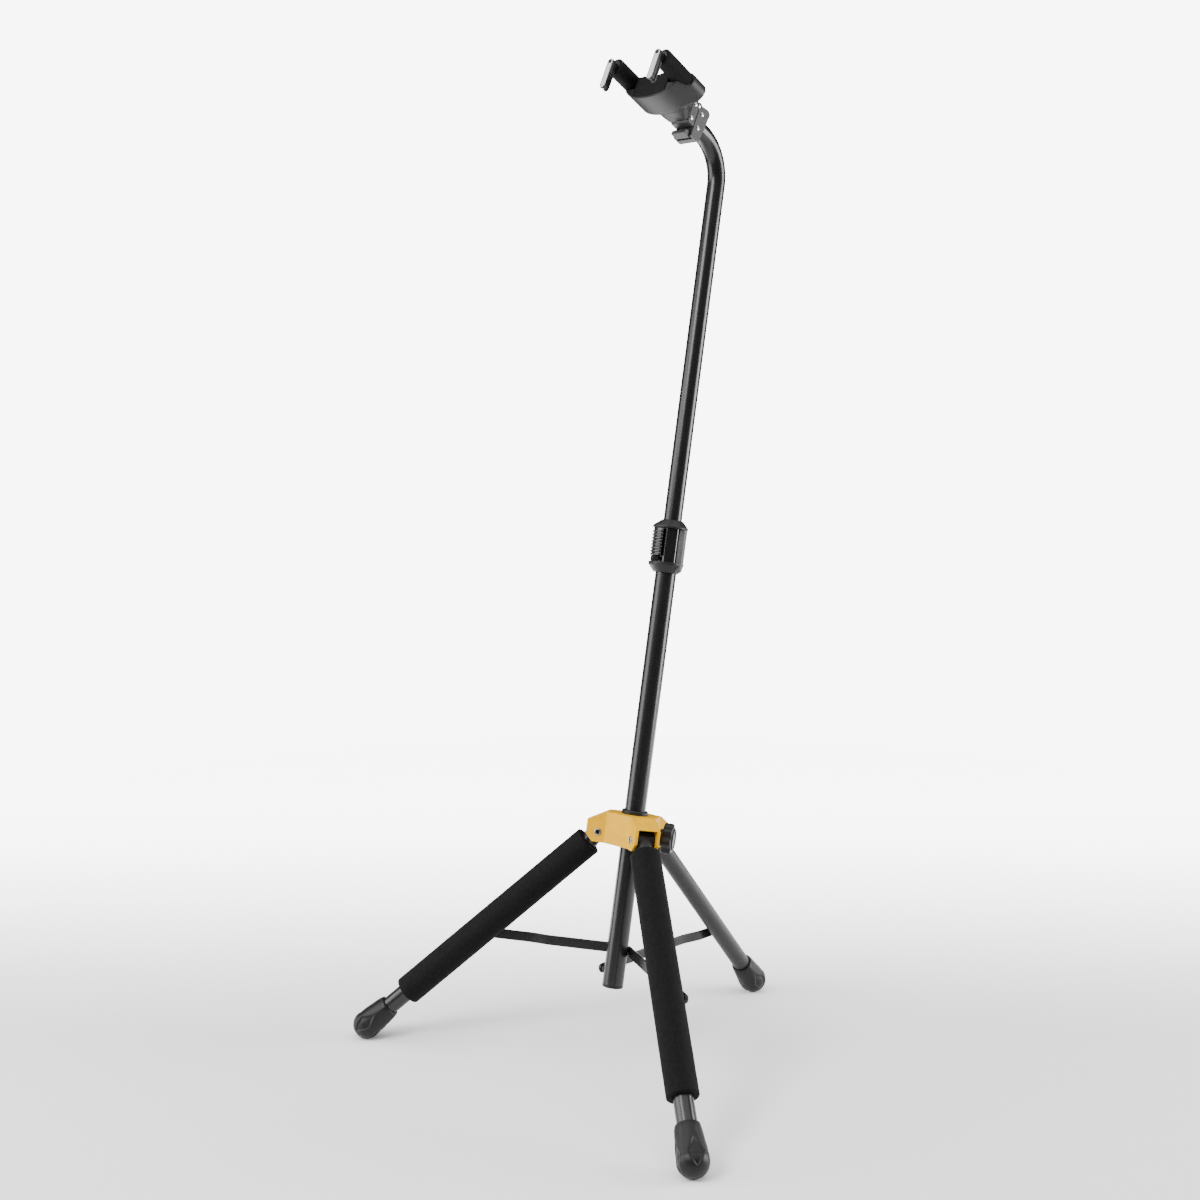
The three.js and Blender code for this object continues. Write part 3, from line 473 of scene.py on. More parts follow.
HIDDEN_FINISH = {
    "mast_paint": gloss_paint, "dark_plastic": moulded_dark, "grey_plastic": moulded_grey,
    "zinc_steel": zinc,
}


# ---------------------------------------------------------------- mast tubes
def upper_tube_part(steps=44, sides=80):
    """Straight run, bend and short straight end, as one drawn tube."""
    stations = [(0, S_UPPER_BOTTOM), (0, S_BEND)]
    for i in range(1, steps + 1):
        angle = BEND_ANGLE * i / steps
        stations.append((angle, S_BEND))
    stations.append((BEND_ANGLE, S_BEND + NECK_END))

    def ring(angle, s, radius):
        tail = NECK_END if s > S_BEND else 0
        run = min(s, S_BEND)
        centre = Vector((
            0,
            -BEND_RADIUS * (1 - math.cos(angle)) - tail * math.sin(angle),
            run + BEND_RADIUS * math.sin(angle) + tail * math.cos(angle),
        ))
        side = Vector((0, math.cos(angle), math.sin(angle)))
        points = []
        for k in range(sides):
            a = 2 * math.pi * k / sides
            points.append(centre + radius * (math.cos(a) * WORLD_X + math.sin(a) * side))
        return points

    inner = UPPER_RADIUS - UPPER_WALL
    rings = [ring(angle, s, UPPER_RADIUS) for angle, s in stations]
    rings += [ring(angle, s, inner) for angle, s in reversed(stations)]
    return grid_mesh([*rings, rings[0]])


piece("lower_mast_tube", tube(MAST_RADIUS - MAST_WALL, MAST_RADIUS, S_MAST_BOTTOM, S_MAST_TOP),
      MAST, gloss_paint)
piece("upper_mast_tube", upper_tube_part(), MAST, gloss_paint)
piece("mast_end_plug", lathe(rounded([
    (0, 88.4), (7, 88.4), (8.5, 87, 0.5), (MAST_RADIUS, 87, 1.6), (MAST_RADIUS, 89.7, 0.3),
    (11.1, 89.7), (11.1, 99), (0, 99),
], 0.3, closed=False)), MAST, moulded_dark)


# ---------------------------------------------------------------- hub
def at_leg(degrees, r, w):
    """A point at radius r and sideways distance w from the leg at an angle of degrees."""
    a = math.radians(degrees)
    return r * math.sin(a) + w * math.cos(a), -r * math.cos(a) + w * math.sin(a)


def hub_part():
    outline = []
    for leg in LEGS.values():
        outline += [
            (*at_leg(leg["turn"], WALL_START, -CHEEK_OUTER), 3),
            (*at_leg(leg["turn"], CLEVIS_REACH, -CHEEK_OUTER), 1.2),
            (*at_leg(leg["turn"], CLEVIS_REACH, CHEEK_OUTER), 1.2),
            (*at_leg(leg["turn"], WALL_START, CHEEK_OUTER), 3),
        ]
    roof = [(33, HUB_TOP), (33, HUB_TOP + 5), (62, HUB_TOP + 5), (62, 280)]
    nose = [(45, HUB_BOTTOM - 1), (62, HUB_BOTTOM - 1), (62, 275)]
    boss_turn = turn(LOCK_TURN, "Z")
    lock_bore = placed(forward(rod(4.3, 10, 40), 0, LOCK_HEIGHT), boss_turn)
    cuts = [rod(HUB_BORE, 200, 320), lock_bore]
    for leg in LEGS.values():
        station = turn(leg["turn"], "Z")
        tools = [
            box(-CHEEK_INNER, CHEEK_INNER, -70, -27.6, 240, 284),
            across(roof, -25, 25),
            across(nose, -25, 25),
            crosswise(rod(LEG_PIN_RADIUS + GAP, -25, 25), -PIVOT_RADIUS, S_HUB),
        ]
        cuts += [placed(tool, station) for tool in tools]
    boss = placed(forward(rod(9.5, 20, 33, 0.8), 0, LOCK_HEIGHT), boss_turn)
    return carved(prism(outline, HUB_BOTTOM, HUB_TOP), joins=[boss], cuts=cuts)


piece("hub_casting", hub_part(), MAST, yellow_paint, soft=(0.55, 3, 0.3))
piece("hub_bushing", lathe(rounded([
    (13, 262), (14.3, 262), (14.3, 296.3, 0), (16, 296.3, 0.3), (16, 300, 0.9), (15, 301, 0.5),
    (14.1, 301, 0.4), (13.2, 299.6), (13, 298),
], 0.3), ring=True), MAST, moulded_dark)


def knob_part(lobes=7, sides=168):
    """A scalloped knob on a round boss, with a dished cap."""
    levels = [
        (4.3, 34.3, 0), (9.9, 34, 0), (10.5, 34.6, 0), (10.5, 37.6, 0), (11.2, 38, 0),
        (15.3, 38, 0.5), (16.6, 38.4, 1.1), (17.1, 39.2, 1.4), (17.3, 40.5, 1.5),
        (17.3, 47.6, 1.5), (17.0, 49, 1.4), (16.3, 49.8, 1.1), (15, 50.1, 0.5),
        (13.5, 50.1, 0), (13, 50.6, 0), (12.8, 51.5, 0), (12.1, 52, 0), (10.6, 51.9, 0),
        (10.2, 51.3, 0), (9.6, 51, 0),
    ]
    rings = []
    for radius, z, depth in levels:
        ring = []
        for i in range(sides):
            a = 2 * math.pi * i / sides
            r = radius + depth * math.cos(lobes * a)
            ring.append((r * math.cos(a), r * math.sin(a), z))
        rings.append(ring)
    return grid_mesh([*rings, [(0, 0, 50.8)]])


def screw_part():
    """The lock's threaded screw."""
    profile = [(0, 13.4), (2.6, 13.4), (3.4, 14.2)]
    z = 14.4
    while z < 44:
        profile += [(3.4, z), (3.95, z + 0.35), (3.4, z + 0.7)]
        z += 0.8
    return lathe([*profile, (3.4, 44.8), (0, 44.8)], 40)


piece("lock_knob", knob_part(), LOCK, moulded_dark)
piece("lock_screw", screw_part(), LOCK, zinc)


# ---------------------------------------------------------------- legs, feet and spreaders
def tongue_part():
    """The leg's end that turns in the clevis."""
    eye = crosswise(rod(10.6, -CHEEK_INNER + 0.5, CHEEK_INNER - 0.5, 0.8))
    shoulder = rod(10.55, -14, 0)
    spigot = rod(9.5, -42, -5)
    pin_hole = crosswise(rod(LEG_PIN_RADIUS + GAP, -20, 20))
    return carved(eye, joins=[shoulder, spigot], cuts=[pin_hole])


def leg_pin_part():
    """A tubular rivet through a clevis, rolled over at both ends."""
    def head(way):
        outer = CHEEK_OUTER + 1.5
        return crosswise(placed(lathe([
            (0, 8), (2.55, 8), (2.6, outer - 0.9), (2.85, outer - 0.25), (3.2, outer),
            (3.7, outer - 0.1), (4.2, outer - 0.5), (4.4, outer - 1.1), (LEG_PIN_RADIUS, outer - 1.2),
            (LEG_PIN_RADIUS, 6), (0, 6),
        ], 40), turn(0 if way > 0 else 180, "Y")))
    return merged(crosswise(rod(LEG_PIN_RADIUS, -7.9, 7.9)), head(1), head(-1))


def foot_part(length, facets=4, sides=192):
    """A rubber cap: a cone on the leg that widens into a ball, with leaf-shaped facets and ridges."""
    bore = LEG_RADIUS + GAP
    cone = rounded([
        (18.2, 2.5, 8), (16.8, 13, 20), (14.3, 33, 20), (13.6, FOOT_TOP - 0.8, 0.8),
        (12.6, FOOT_TOP, 0.5), (bore, FOOT_TOP, 0.2), (bore, FOOT_FLOOR, 0), (0, FOOT_FLOOR),
    ], 1, steps=8, closed=False)
    ball_end = math.radians(98)
    ball = [
        Vector((FOOT_RADIUS * math.sin(a), -FOOT_RADIUS * math.cos(a)))
        for a in (ball_end * i / 30 for i in range(31))
    ]
    body = ball + cone
    fine = []
    for a, b in zip(body, body[1:]):
        pieces = max(1, int((b - a).length / 0.8))
        fine += [a.lerp(b, k / pieces) for k in range(pieces)]
    fine.append(body[-1])
    outer_end = next(i for i, p in enumerate(fine) if p.y > FOOT_TOP - 0.1)
    rings = []
    for index, (radius, z) in enumerate(fine):
        if radius < 1e-6:
            rings.append([(0, 0, z)])
            continue
        ring = []
        for k in range(sides):
            angle = 2 * math.pi * k / sides
            r = radius + (foot_relief(angle, z, facets) if index < outer_end else 0)
            ring.append((r * math.cos(angle), r * math.sin(angle), z))
        rings.append(ring)
    return placed(grid_mesh(rings), shift(0, 0, -length))


def foot_relief(angle, z, facets):
    """How far the rubber stands out: sunk inside a leaf, and raised along the ridge above it."""
    pitch = 2 * math.pi / facets
    first_leaf = math.radians(-98)
    off = abs((angle - first_leaf + pitch / 2) % pitch - pitch / 2) * FOOT_RADIUS
    top, wide, bottom = 22.0, 5.0, -11.0
    half_width, bevel, depth, ridge_height = 10.5, 3.5, 1.5, 0.7
    above = max((top - z) / (top - wide), 0)
    below = max((z - bottom) / (wide - bottom), 0)
    leaf = half_width * (math.sqrt(below) if z < wide else above)
    sunk = min(max((leaf - off) / bevel, 0), 1)
    ridge = max(0, 1 - off / 7) * min(max((z - 20) / 6, 0), 1) * min(max((37 - z) / 4, 0), 1)
    return ridge_height * ridge - depth * (3 - 2 * sunk) * sunk * sunk


def trim_at_floor(obj):
    """Flattens the ball's sole on the floor."""
    bm = bmesh.new()
    bm.from_mesh(obj.data)
    cut = bmesh.ops.bisect_plane(
        bm, geom=[*bm.verts, *bm.edges, *bm.faces], plane_co=(0, 0, 0), plane_no=(0, 0, -1),
        clear_outer=True)
    rim = [e for e in cut["geom_cut"] if isinstance(e, bmesh.types.BMEdge)]
    bmesh.ops.holes_fill(bm, edges=rim)
    bm.to_mesh(obj.data)
    bm.free()


def sleeve_part(inner, outer, z0, z1, seed, edge=1.6, wobble=0.12, sides=112, step=2.5):
    """A soft foam sleeve: full ends, and a surface that isn't quite even."""
    profile = rounded([(inner, z0, 0.4), (outer, z0, edge), (outer, z1, edge), (inner, z1, 0.4)], 1)
    even = []
    for a, b in zip(profile, [*profile[1:], profile[0]]):
        pieces = max(1, int((b - a).length / step))
        even += [a.lerp(b, k / pieces) for k in range(pieces)]
    verts, faces = lathe(even, sides, ring=True)
    moved = []
    for v in verts:
        out = Vector((v.x, v.y, 0))
        soft = noise.noise(Vector((v.x, v.y, v.z)) * 0.07 + Vector((seed, 0, 0)))
        soft += 0.4 * noise.noise(Vector((v.x, v.y, v.z)) * 0.25 + Vector((0, seed, 0)))
        near = 1 if out.length > (inner + outer) / 2 else 0
        moved.append(v + out.normalized() * min(soft * wobble, 0.05) * near)
    return moved, faces


def strap_part(length, at_mast, at_leg, joggle, side):
    """A flat bar on edge, joggled from the mast's side to the leg's side, with rolled edges."""
    half = STRAP_HEIGHT / 2
    thick = STRAP_THICK / 2
    corner = 0.7
    stations = [-half + half * (1 - math.cos(math.radians(15 * i))) for i in range(7)]
    straight_steps = 60
    stations += [length * i / straight_steps for i in range(1, straight_steps)]
    stations += [length + half * math.sin(math.radians(15 * i)) for i in range(7)]
    rings = []
    for v in stations:
        over = max(-v, v - length, 0)
        tall = max(math.sqrt(max(half * half - over * over, 0)), 0.75)
        t = min(max((v - joggle[0]) / (joggle[1] - joggle[0]), 0), 1)
        x = at_mast + (at_leg - at_mast) * (3 * t * t - 2 * t * t * t)
        section = rounded(
            [(-thick, -tall), (thick, -tall), (thick, tall), (-thick, tall)], corner, steps=3)
        rings.append([(side * (x + p.x), -v, p.y) for p in section])
    return grid_mesh(rings, closed_ends=True)


def rivet_part(at, inner, side, length=0):
    """A domed rivet head outside the strap, its shank, and a washer where it goes into the mast."""
    face = at + STRAP_THICK / 2 + GAP
    head = lathe([
        (0, face), (4.6, face), (5, face + 0.4), (4.9, face + 1.1), (4.2, face + 1.9),
        (2.8, face + 2.5), (1.2, face + 2.75), (0, face + 2.8),
    ], 40)
    shank = rod(2.3, inner, face + 0.5)
    washer = rod(4.6, MAST_RADIUS + 0.5, at - STRAP_THICK / 2 - GAP, 0.3)
    parts = merged(head, shank, washer) if length == 0 else merged(head, shank)
    return placed(crosswise(parts), shift(0, -length) @ to_side(side))


def build_leg(name, leg):
    side = leg["side"]
    strap = FRONT_STRAP if leg["foam"] else REAR_STRAP
    leg_space, length = leg_frame(name)
    strap_space, reach = strap_frame(name, leg_space, strap["pin_down"])
    station = MAST @ Matrix.Rotation(math.radians(leg["turn"]), 4, "Z")

    bare = tube(LEG_RADIUS - LEG_WALL, LEG_RADIUS, FOOT_FLOOR + 1 - length, -LEG_TUBE_TOP)
    stud = rod(5, LEG_RADIUS - 1, strap["at_leg"] - STRAP_THICK / 2 - GAP, 0.4)
    stud = placed(crosswise(stud), shift(0, 0, -strap["pin_down"]) @ to_side(side))
    piece(f"leg_tube_{name}", merged(bare, stud), leg_space,
          gloss_paint if leg["foam"] else satin_paint)
    piece(f"leg_tongue_{name}", tongue_part(), leg_space, moulded_dark, soft=(0.5, 3, 0.4))
    pin = placed(leg_pin_part(), shift(0, -PIVOT_RADIUS, S_HUB))
    piece(f"leg_pin_{name}", pin, station, rivet_metal)

    foot = new_object(f"foot_{name}_look", foot_part(length), leg_space)
    trim_at_floor(foot)
    finish_piece(foot, f"foot_{name}", foot_rubber)
    if leg["foam"]:
        sleeve = sleeve_part(LEG_RADIUS + GAP, FOAM_RADIUS, -FOAM_BOTTOM, -FOAM_TOP, seed=3 + side)
        piece(f"leg_foam_{name}", sleeve, leg_space, foam)

    bar = strap_part(reach, strap["at_mast"], strap["at_leg"], strap["joggle"], side)
    piece(f"spreader_{name}", bar, strap_space, gloss_paint)
    piece(f"spreader_mast_rivet_{name}", rivet_part(strap["at_mast"], MAST_RADIUS - 1, side),
          strap_space, moulded_dark)
    piece(f"spreader_leg_rivet_{name}",
          rivet_part(strap["at_leg"], strap["at_leg"] - STRAP_THICK / 2, side, reach),
          strap_space, moulded_dark)


for leg_name, leg_facts in LEGS.items():
    build_leg(leg_name, leg_facts)


# ---------------------------------------------------------------- clutch
def lean(part, amount=1.4):
    """Pushes the outside of a clutch part towards the lever, and leaves its bore where it is."""
    moved = []
    for v in part[0]:
        outer = min(max((math.hypot(v[0], v[1]) - 14) / 5, 0), 1)
        moved.append(Vector((v[0], v[1] - amount * outer, v[2])))
    return moved, part[1]


def clutch_barrel_part():
    """The polished barrel: a thick sleeve with a rounded flat on each side."""
    half_x, half_y, bottom, top = 17.4, 9, 601, CLUTCH_SHOULDER - GAP
    flats = rounded(
        [(-half_x, -half_y), (half_x, -half_y), (half_x, half_y), (-half_x, half_y)], 7, steps=12)
    bore = rod(CLUTCH_BORE, bottom - 6, top + 7)
    return merged(
        carved(prism(flats, bottom, top, 0.3), cuts=[bore]),
        tube(CLUTCH_BORE - 0.1, CLUTCH_BORE + 1.1, bottom, top),
    )


def clutch_collar_part():
    return lean(lathe(rounded([
        (MAST_RADIUS + GAP, CLUTCH_BOTTOM), (15.4, CLUTCH_BOTTOM, 0.8), (20.7, 598, 2.5),
        (CLUTCH_RADIUS, 600, 1.2), (CLUTCH_RADIUS, COLLAR_TOP - 0.5, 0.5),
        (17.2, COLLAR_TOP, 0.3), (MAST_RADIUS + GAP, COLLAR_TOP),
    ], 0.4), 112, ring=True))


def clutch_spine_part():
    """The flat-sided spine behind the barrel, which ends in a rounded lobe over the collar."""
    top, back, half_width = CLUTCH_SHOULDER - GAP, -18.6, 15.3
    side = rounded([
        (-9, top, 0.6), (back, top, 1.2), (back, 600, 5), (-17.4, 593, 4),
        (-14, CLUTCH_BOTTOM + 0.3, 4), (-9, CLUTCH_BOTTOM + 1.5, 2),
    ], 0.3, steps=6)
    room = [tube(CLUTCH_RADIUS, 40, 580, 650, 0, 112), rod(CLUTCH_BORE, 580, 650, 0)]
    return carved(across(side, -half_width, half_width), cuts=room)


def clutch_ears_part():
    """The two ears that hold the lever's pin."""
    ear_inner, ear_outer = 10.6, 13.6
    ear = box(ear_inner, ear_outer, -19.2, -12.5, 600, 609, 0.5)
    return merged(ear, placed(ear, shift(-ear_inner - ear_outer)))


def lever_part():
    """The curved squeeze grip: a sector of a ring with ribs across it and a barrel for its pin."""
    inner, valley, crest, plain = 17.4, 19.5, 21.3, 19.8
    profile = [(inner, LEVER_BOTTOM + 0.6), (plain, LEVER_BOTTOM + 0.6, 0.6)]
    for i in range(LEVER_RIBS):
        z = LEVER_BOTTOM + 7.5 + RIB_PITCH * i
        profile += [
            (valley, z - 1.5, 0.3), (crest, z - 0.7, 0.4), (crest, z + 0.6, 0.4),
            (valley, z + 1.4, 0.3),
        ]
    profile += [(plain, LEVER_TOP, 0.7), (inner, LEVER_TOP)]
    shell = lathe(rounded(profile, 0.3), 144, ring=True)
    sector = box(-17.7, 17.7, -30, -9.6, 600, 646)
    ear_room = [box(10.3, 20, -30, 0, 590, 609.6), box(-20, -10.3, -30, 0, 590, 609.6)]
    hinge_barrel = box(-10.2, 10.2, -19.8, -16.4, 604.2, 609.6, 0.6)
    stiffener = box(-4, 4, -19.2, -16.7, 624, 632, 0.4)
    return merged(lean(carved(shell, within=[sector], cuts=ear_room)), hinge_barrel, stiffener)


def top_collar_part():
    return lean(lathe(rounded([
        (UPPER_RADIUS + GAP, CLUTCH_SHOULDER), (21.6, CLUTCH_SHOULDER, 0.5), (21.6, 645.6, 0.7),
        (20.2, 647.4, 1.2), (13.4, 653.4, 1.0), (12.6, CLUTCH_TOP, 0.4),
        (UPPER_RADIUS + GAP, CLUTCH_TOP, 0.3),
    ], 0.4), 112, ring=True))


piece("clutch_housing", clutch_barrel_part(), CLUTCH, polished_black, tag="barrel")
piece("clutch_housing", clutch_collar_part(), CLUTCH, moulded_dark, tag="collar")
piece("clutch_housing", clutch_spine_part(), CLUTCH, spine_grey, tag="spine", soft=(0.4, 3, 0.4))
piece("clutch_housing", clutch_ears_part(), CLUTCH, moulded_dark, tag="ears")
piece("clutch_lever", lever_part(), CLUTCH, lever_black)
piece("clutch_collar", top_collar_part(), CLUTCH, moulded_dark)


# ---------------------------------------------------------------- hinge of the folding yoke
def hinge_bar(radius, x0, x1, edge=0.3):
    return crosswise(rod(radius, x0, x1, edge), -SPLIT, FOLD_PIN_LIFT)


def lower_block_part():
    side = rounded([
        (12, -21), (15, -24), (SPLIT - GAP, -24, 0.8), (SPLIT - GAP, FOLD_PIN_LIFT - 2),
        (SPLIT - GAP - 4, FOLD_PIN_LIFT + 3), (12, FOLD_PIN_LIFT + 5), (8, FOLD_PIN_LIFT + 1.5),
    ], 1.8)
    middle = MIDDLE_KNUCKLE + GAP
    return carved(
        across(side, -BLOCK_HALF, BLOCK_HALF),
        joins=[hinge_bar(KNUCKLE, middle, BLOCK_HALF), hinge_bar(KNUCKLE, -BLOCK_HALF, -middle)],
        cuts=[
            hinge_bar(KNUCKLE + GAP, -middle, middle),
            hinge_bar(PIN_RADIUS + GAP, -20, 20),
            forward(rod(UPPER_RADIUS + GAP, 0, NECK_END + 0.6)),
            yoke_box(10.8, 22, 40, -40, -9.5),
        ],
    )


def upper_block_part():
    side = rounded([
        (SPLIT + GAP, -12, 0.6), (39, -12), (41, -10), (41, FOLD_PIN_LIFT + 0.5),
        (38.5, FOLD_PIN_LIFT + 4), (SPLIT + 4.5, FOLD_PIN_LIFT + 4), (SPLIT + GAP, FOLD_PIN_LIFT - 1),
    ], 1.2)
    middle = MIDDLE_KNUCKLE
    room = KNUCKLE + GAP
    return carved(
        across(side, -BLOCK_HALF, BLOCK_HALF),
        joins=[hinge_bar(KNUCKLE, -middle, middle), yoke_box(7, 40, 54, -6, 4)],
        cuts=[hinge_bar(room, middle, 20), hinge_bar(room, -20, -middle),
              hinge_bar(PIN_RADIUS + GAP, -20, 20)],
    )


def screw_head_part(v, z):
    """Two domed socket heads on one shank."""
    face = BLOCK_HALF
    head = lathe([
        (0, face + 0.7), (1.1, face + 0.7), (1.25, face + 1.45), (1.8, face + 1.4),
        (2.5, face + 1.05), (2.85, face + 0.5), (2.9, face + 0.1), (1.9, face), (1.9, 2), (0, 2),
    ], 36)
    both = merged(crosswise(head), crosswise(placed(head, turn(180, "Y"))))
    return placed(both, shift(0, -v, z))


piece("hinge_lower_block", lower_block_part(), YOKE, hinge_grey, soft=(0.4, 3, 0.35))
piece("hinge_upper_block", upper_block_part(), YOKE, hinge_grey, soft=(0.4, 3, 0.35))
for prefix, screws in (("lower", LOWER_SCREWS), ("upper", UPPER_SCREWS)):
    for number, z in enumerate(screws["heights"], 1):
        piece(f"{prefix}_hinge_screw_{number}", screw_head_part(screws["forward"], z), YOKE, zinc)
piece("hinge_pin", hinge_bar(PIN_RADIUS, -BLOCK_HALF, BLOCK_HALF, 0.5), YOKE, zinc)
piece("hinge_latch", across(rounded([
    (23, -10), (27.5, -10), (28.4, -17.6), (36.5, -19.2), (37.5, -24.5), (27, -25.5), (23, -21),
], 0.9), -10.4, 10.4, 0.6), YOKE, hinge_grey)


# ---------------------------------------------------------------- yoke cradle
def cradle_arc(scale, v, steps=48):
    """Half an ellipse under the cradle, at forward distance v."""
    points = []
    for i in range(steps + 1):
        a = math.pi * i / steps
        points.append((
            -CRADLE_HALF * scale * math.cos(a), -v, 2 - CRADLE_DEPTH * scale * math.sin(a)))
    return points


def pad_low(x):
    """The lower edge of the neck pad."""
    return -13 - 4 * (1 - (x / PAD_HALF) ** 2)


def pad_room_part(steps=24):
    """The room that the cradle leaves for the neck pad."""
    half = PAD_HALF + GAP
    low = [(x, pad_low(x) - GAP) for x in (half * (2 * i / steps - 1) for i in range(steps + 1))]
    return forward(prism([(-half, 40), *low, (half, 40)], PAD_BACK - GAP, RIM + 5))


def cradle_part():
    arms = (-ARM_SPACING / 2, ARM_SPACING / 2)

    def socket_ring(v):
        points = []
        for x in arms:
            for i in range(64):
                a = math.pi * i / 32
                points.append((
                    x + SOCKET_RADIUS * math.cos(a), -v, ARM_LIFT + SOCKET_RADIUS * math.sin(a)))
        return points

    scoop = hull([
        *cradle_arc(1, RIM), *cradle_arc(1, 68), *cradle_arc(0.8, SOCKET_BACK + 1),
        (-PAD_HALF, -RIM, CRADLE_TOP), (PAD_HALF, -RIM, CRADLE_TOP),
        *socket_ring(SOCKET_FRONT), *socket_ring(SOCKET_BACK),
    ])
    neck_points = [*cradle_arc(0.72, 66), (-26, -66, 16), (26, -66, 16)]
    for side in (-1, 1):
        neck_points += [
            (side * BLOCK_HALF, -41.3, -9), (side * BLOCK_HALF, -41.3, 14),
            (side * (BLOCK_HALF - 2), -43.8, -13), (side * BLOCK_HALF, -46, 16),
        ]
    cuts = [
        yoke_box(PAD_HALF - 1, 40, RIM + 1, CRADLE_TOP, 40),
        yoke_box(7.4, 35, 55, -6.4, 12),
        pad_room_part(),
        box(PAD_HALF - 1.4, ARM_SPACING / 2, -RIM - 5, -SOCKET_FRONT, -4, 40),
        box(-ARM_SPACING / 2, 1.4 - PAD_HALF, -RIM - 5, -SOCKET_FRONT, -4, 40),
    ]
    for x in arms:
        cuts += [
            forward(rod(ARM_FOAM_RADIUS + 0.4, SOCKET_FRONT, RIM + 5), x, ARM_LIFT),
            forward(rod(CORE_RADIUS + GAP, 70, SOCKET_FRONT + 5), x, ARM_LIFT),
            forward(rod(9.4, 63.5, 74), x, ARM_LIFT),
            box(x - 1.5, x + 1.5, -73.5, -63.5, ARM_LIFT, 30),
        ]
    return carved(scoop, joins=[hull(neck_points)], cuts=cuts)


def deck_part():
    half = PAD_HALF - 1.6
    plan = [
        (-half + 2.4, -PAD_BACK + 0.6), (half - 2.4, -PAD_BACK + 0.6), (half, -PAD_BACK + 4),
        (half, -62), (12, -45), (-12, -45), (-half, -62), (-half, -PAD_BACK + 4),
    ]
    return prism(rounded(plan, 2.2), CRADLE_TOP + GAP, CRADLE_TOP + 2.6, 0.7)


def pad_part(columns=56, rows=96, pitch=2.4, rib=0.45):
    """The rubber neck pad: a hollowed face with ribs that follow its lower edge."""
    front, back = [], []
    saddle = 70
    for row in range(rows + 1):
        front.append([])
        back.append([])
        for column in range(columns + 1):
            x = PAD_HALF * (2 * column / columns - 1)
            low = pad_low(x)
            z = low + (PAD_TOP - low) * row / rows
            hollow = min(RIM + 0.6, RIM + 69.2 - math.sqrt(saddle * saddle - x * x))
            edge = min(1, (PAD_TOP - z) / 1.6, (z - low) / 1.6, (PAD_HALF - abs(x)) / 1.6)
            wave = 0.5 - 0.5 * math.cos(2 * math.pi * (z - low) / pitch)
            v = hollow - rib * wave - 0.9 * (1 - max(edge, 0)) ** 2
            front[row].append((x, -v, z))
            back[row].append((x, -PAD_BACK, z))
    verts = [p for row in front for p in row] + [p for row in back for p in row]
    wide = columns + 1
    count = wide * (rows + 1)
    faces = []
    for row in range(rows):
        for column in range(columns):
            a = row * wide + column
            faces.append((a, a + 1, a + wide + 1, a + wide))
            faces.append((a + count, a + wide + count, a + wide + 1 + count, a + 1 + count))
    rim = list(range(columns))
    rim += [columns + r * wide for r in range(rows)]
    rim += [rows * wide + columns - c for c in range(columns)]
    rim += [(rows - r) * wide for r in range(rows)]
    for a, b in zip(rim, [*rim[1:], rim[0]]):
        faces.append((a, a + count, b + count, b))
    return verts, faces


piece("yoke_cradle", cradle_part(), YOKE, moulded_grey, soft=(0.5, 5, 0.3))
piece("yoke_deck_plate", deck_part(), YOKE, moulded_grey)
piece("neck_pad", pad_part(), YOKE, pad_rubber)


# ---------------------------------------------------------------- arms and grip fingers
def finger_outline(inset, steps=24):
    half = FINGER_HALF - inset
    points = []
    for i in range(steps + 1):
        a = math.pi * i / steps
        points.append((half * math.cos(a), FINGER_TOP - FINGER_HALF + half * math.sin(a)))
    for i in range(steps + 1):
        a = math.pi + math.pi * i / steps
        points.append((half * math.cos(a), FINGER_HALF - FINGER_TIP + half * math.sin(a)))
    return points


def finger_layer(inset, v0, v1, edge):
    """A round-ended plate across the arm, from forward distance v0 to v1."""
    return placed(prism(finger_outline(inset), v0, v1, edge), turn(90, "X"))


def finger_body_part():
    """Two plates with a groove between them."""
    return merged(
        finger_layer(1.1, FINGER_BACK + 2.6, FINGER_FRONT - 2.8, 0),
        finger_layer(0, FINGER_FRONT - 3.4, FINGER_FRONT - 1.1, 0.5),
    )


def finger_rim_part():
    """The raised light rim round the face, as a ring of round-ended outlines."""
    rings = []
    v = FINGER_FRONT
    for inset, forward_distance in (
        (0.45, v - 1.0), (0.25, v - 0.55), (0.5, v - 0.1), (0.9, v), (1.25, v - 0.15), (1.35, v - 0.8),
    ):
        rings.append([(x, -forward_distance, z) for x, z in finger_outline(inset)])
    return grid_mesh([*rings, rings[0]])


def shaft_button_part():
    """The shaft, with a dished button on its front end."""
    v = FINGER_FRONT
    return forward(lathe([
        (0, 67), (SHAFT_RADIUS, 67), (SHAFT_RADIUS, v - 3), (2.2, v - 2.6), (2.2, v + 0.3),
        (2.0, v + 0.5), (1.7, v + 0.55), (1.3, v + 0.3), (0, v + 0.2),
    ], 48))


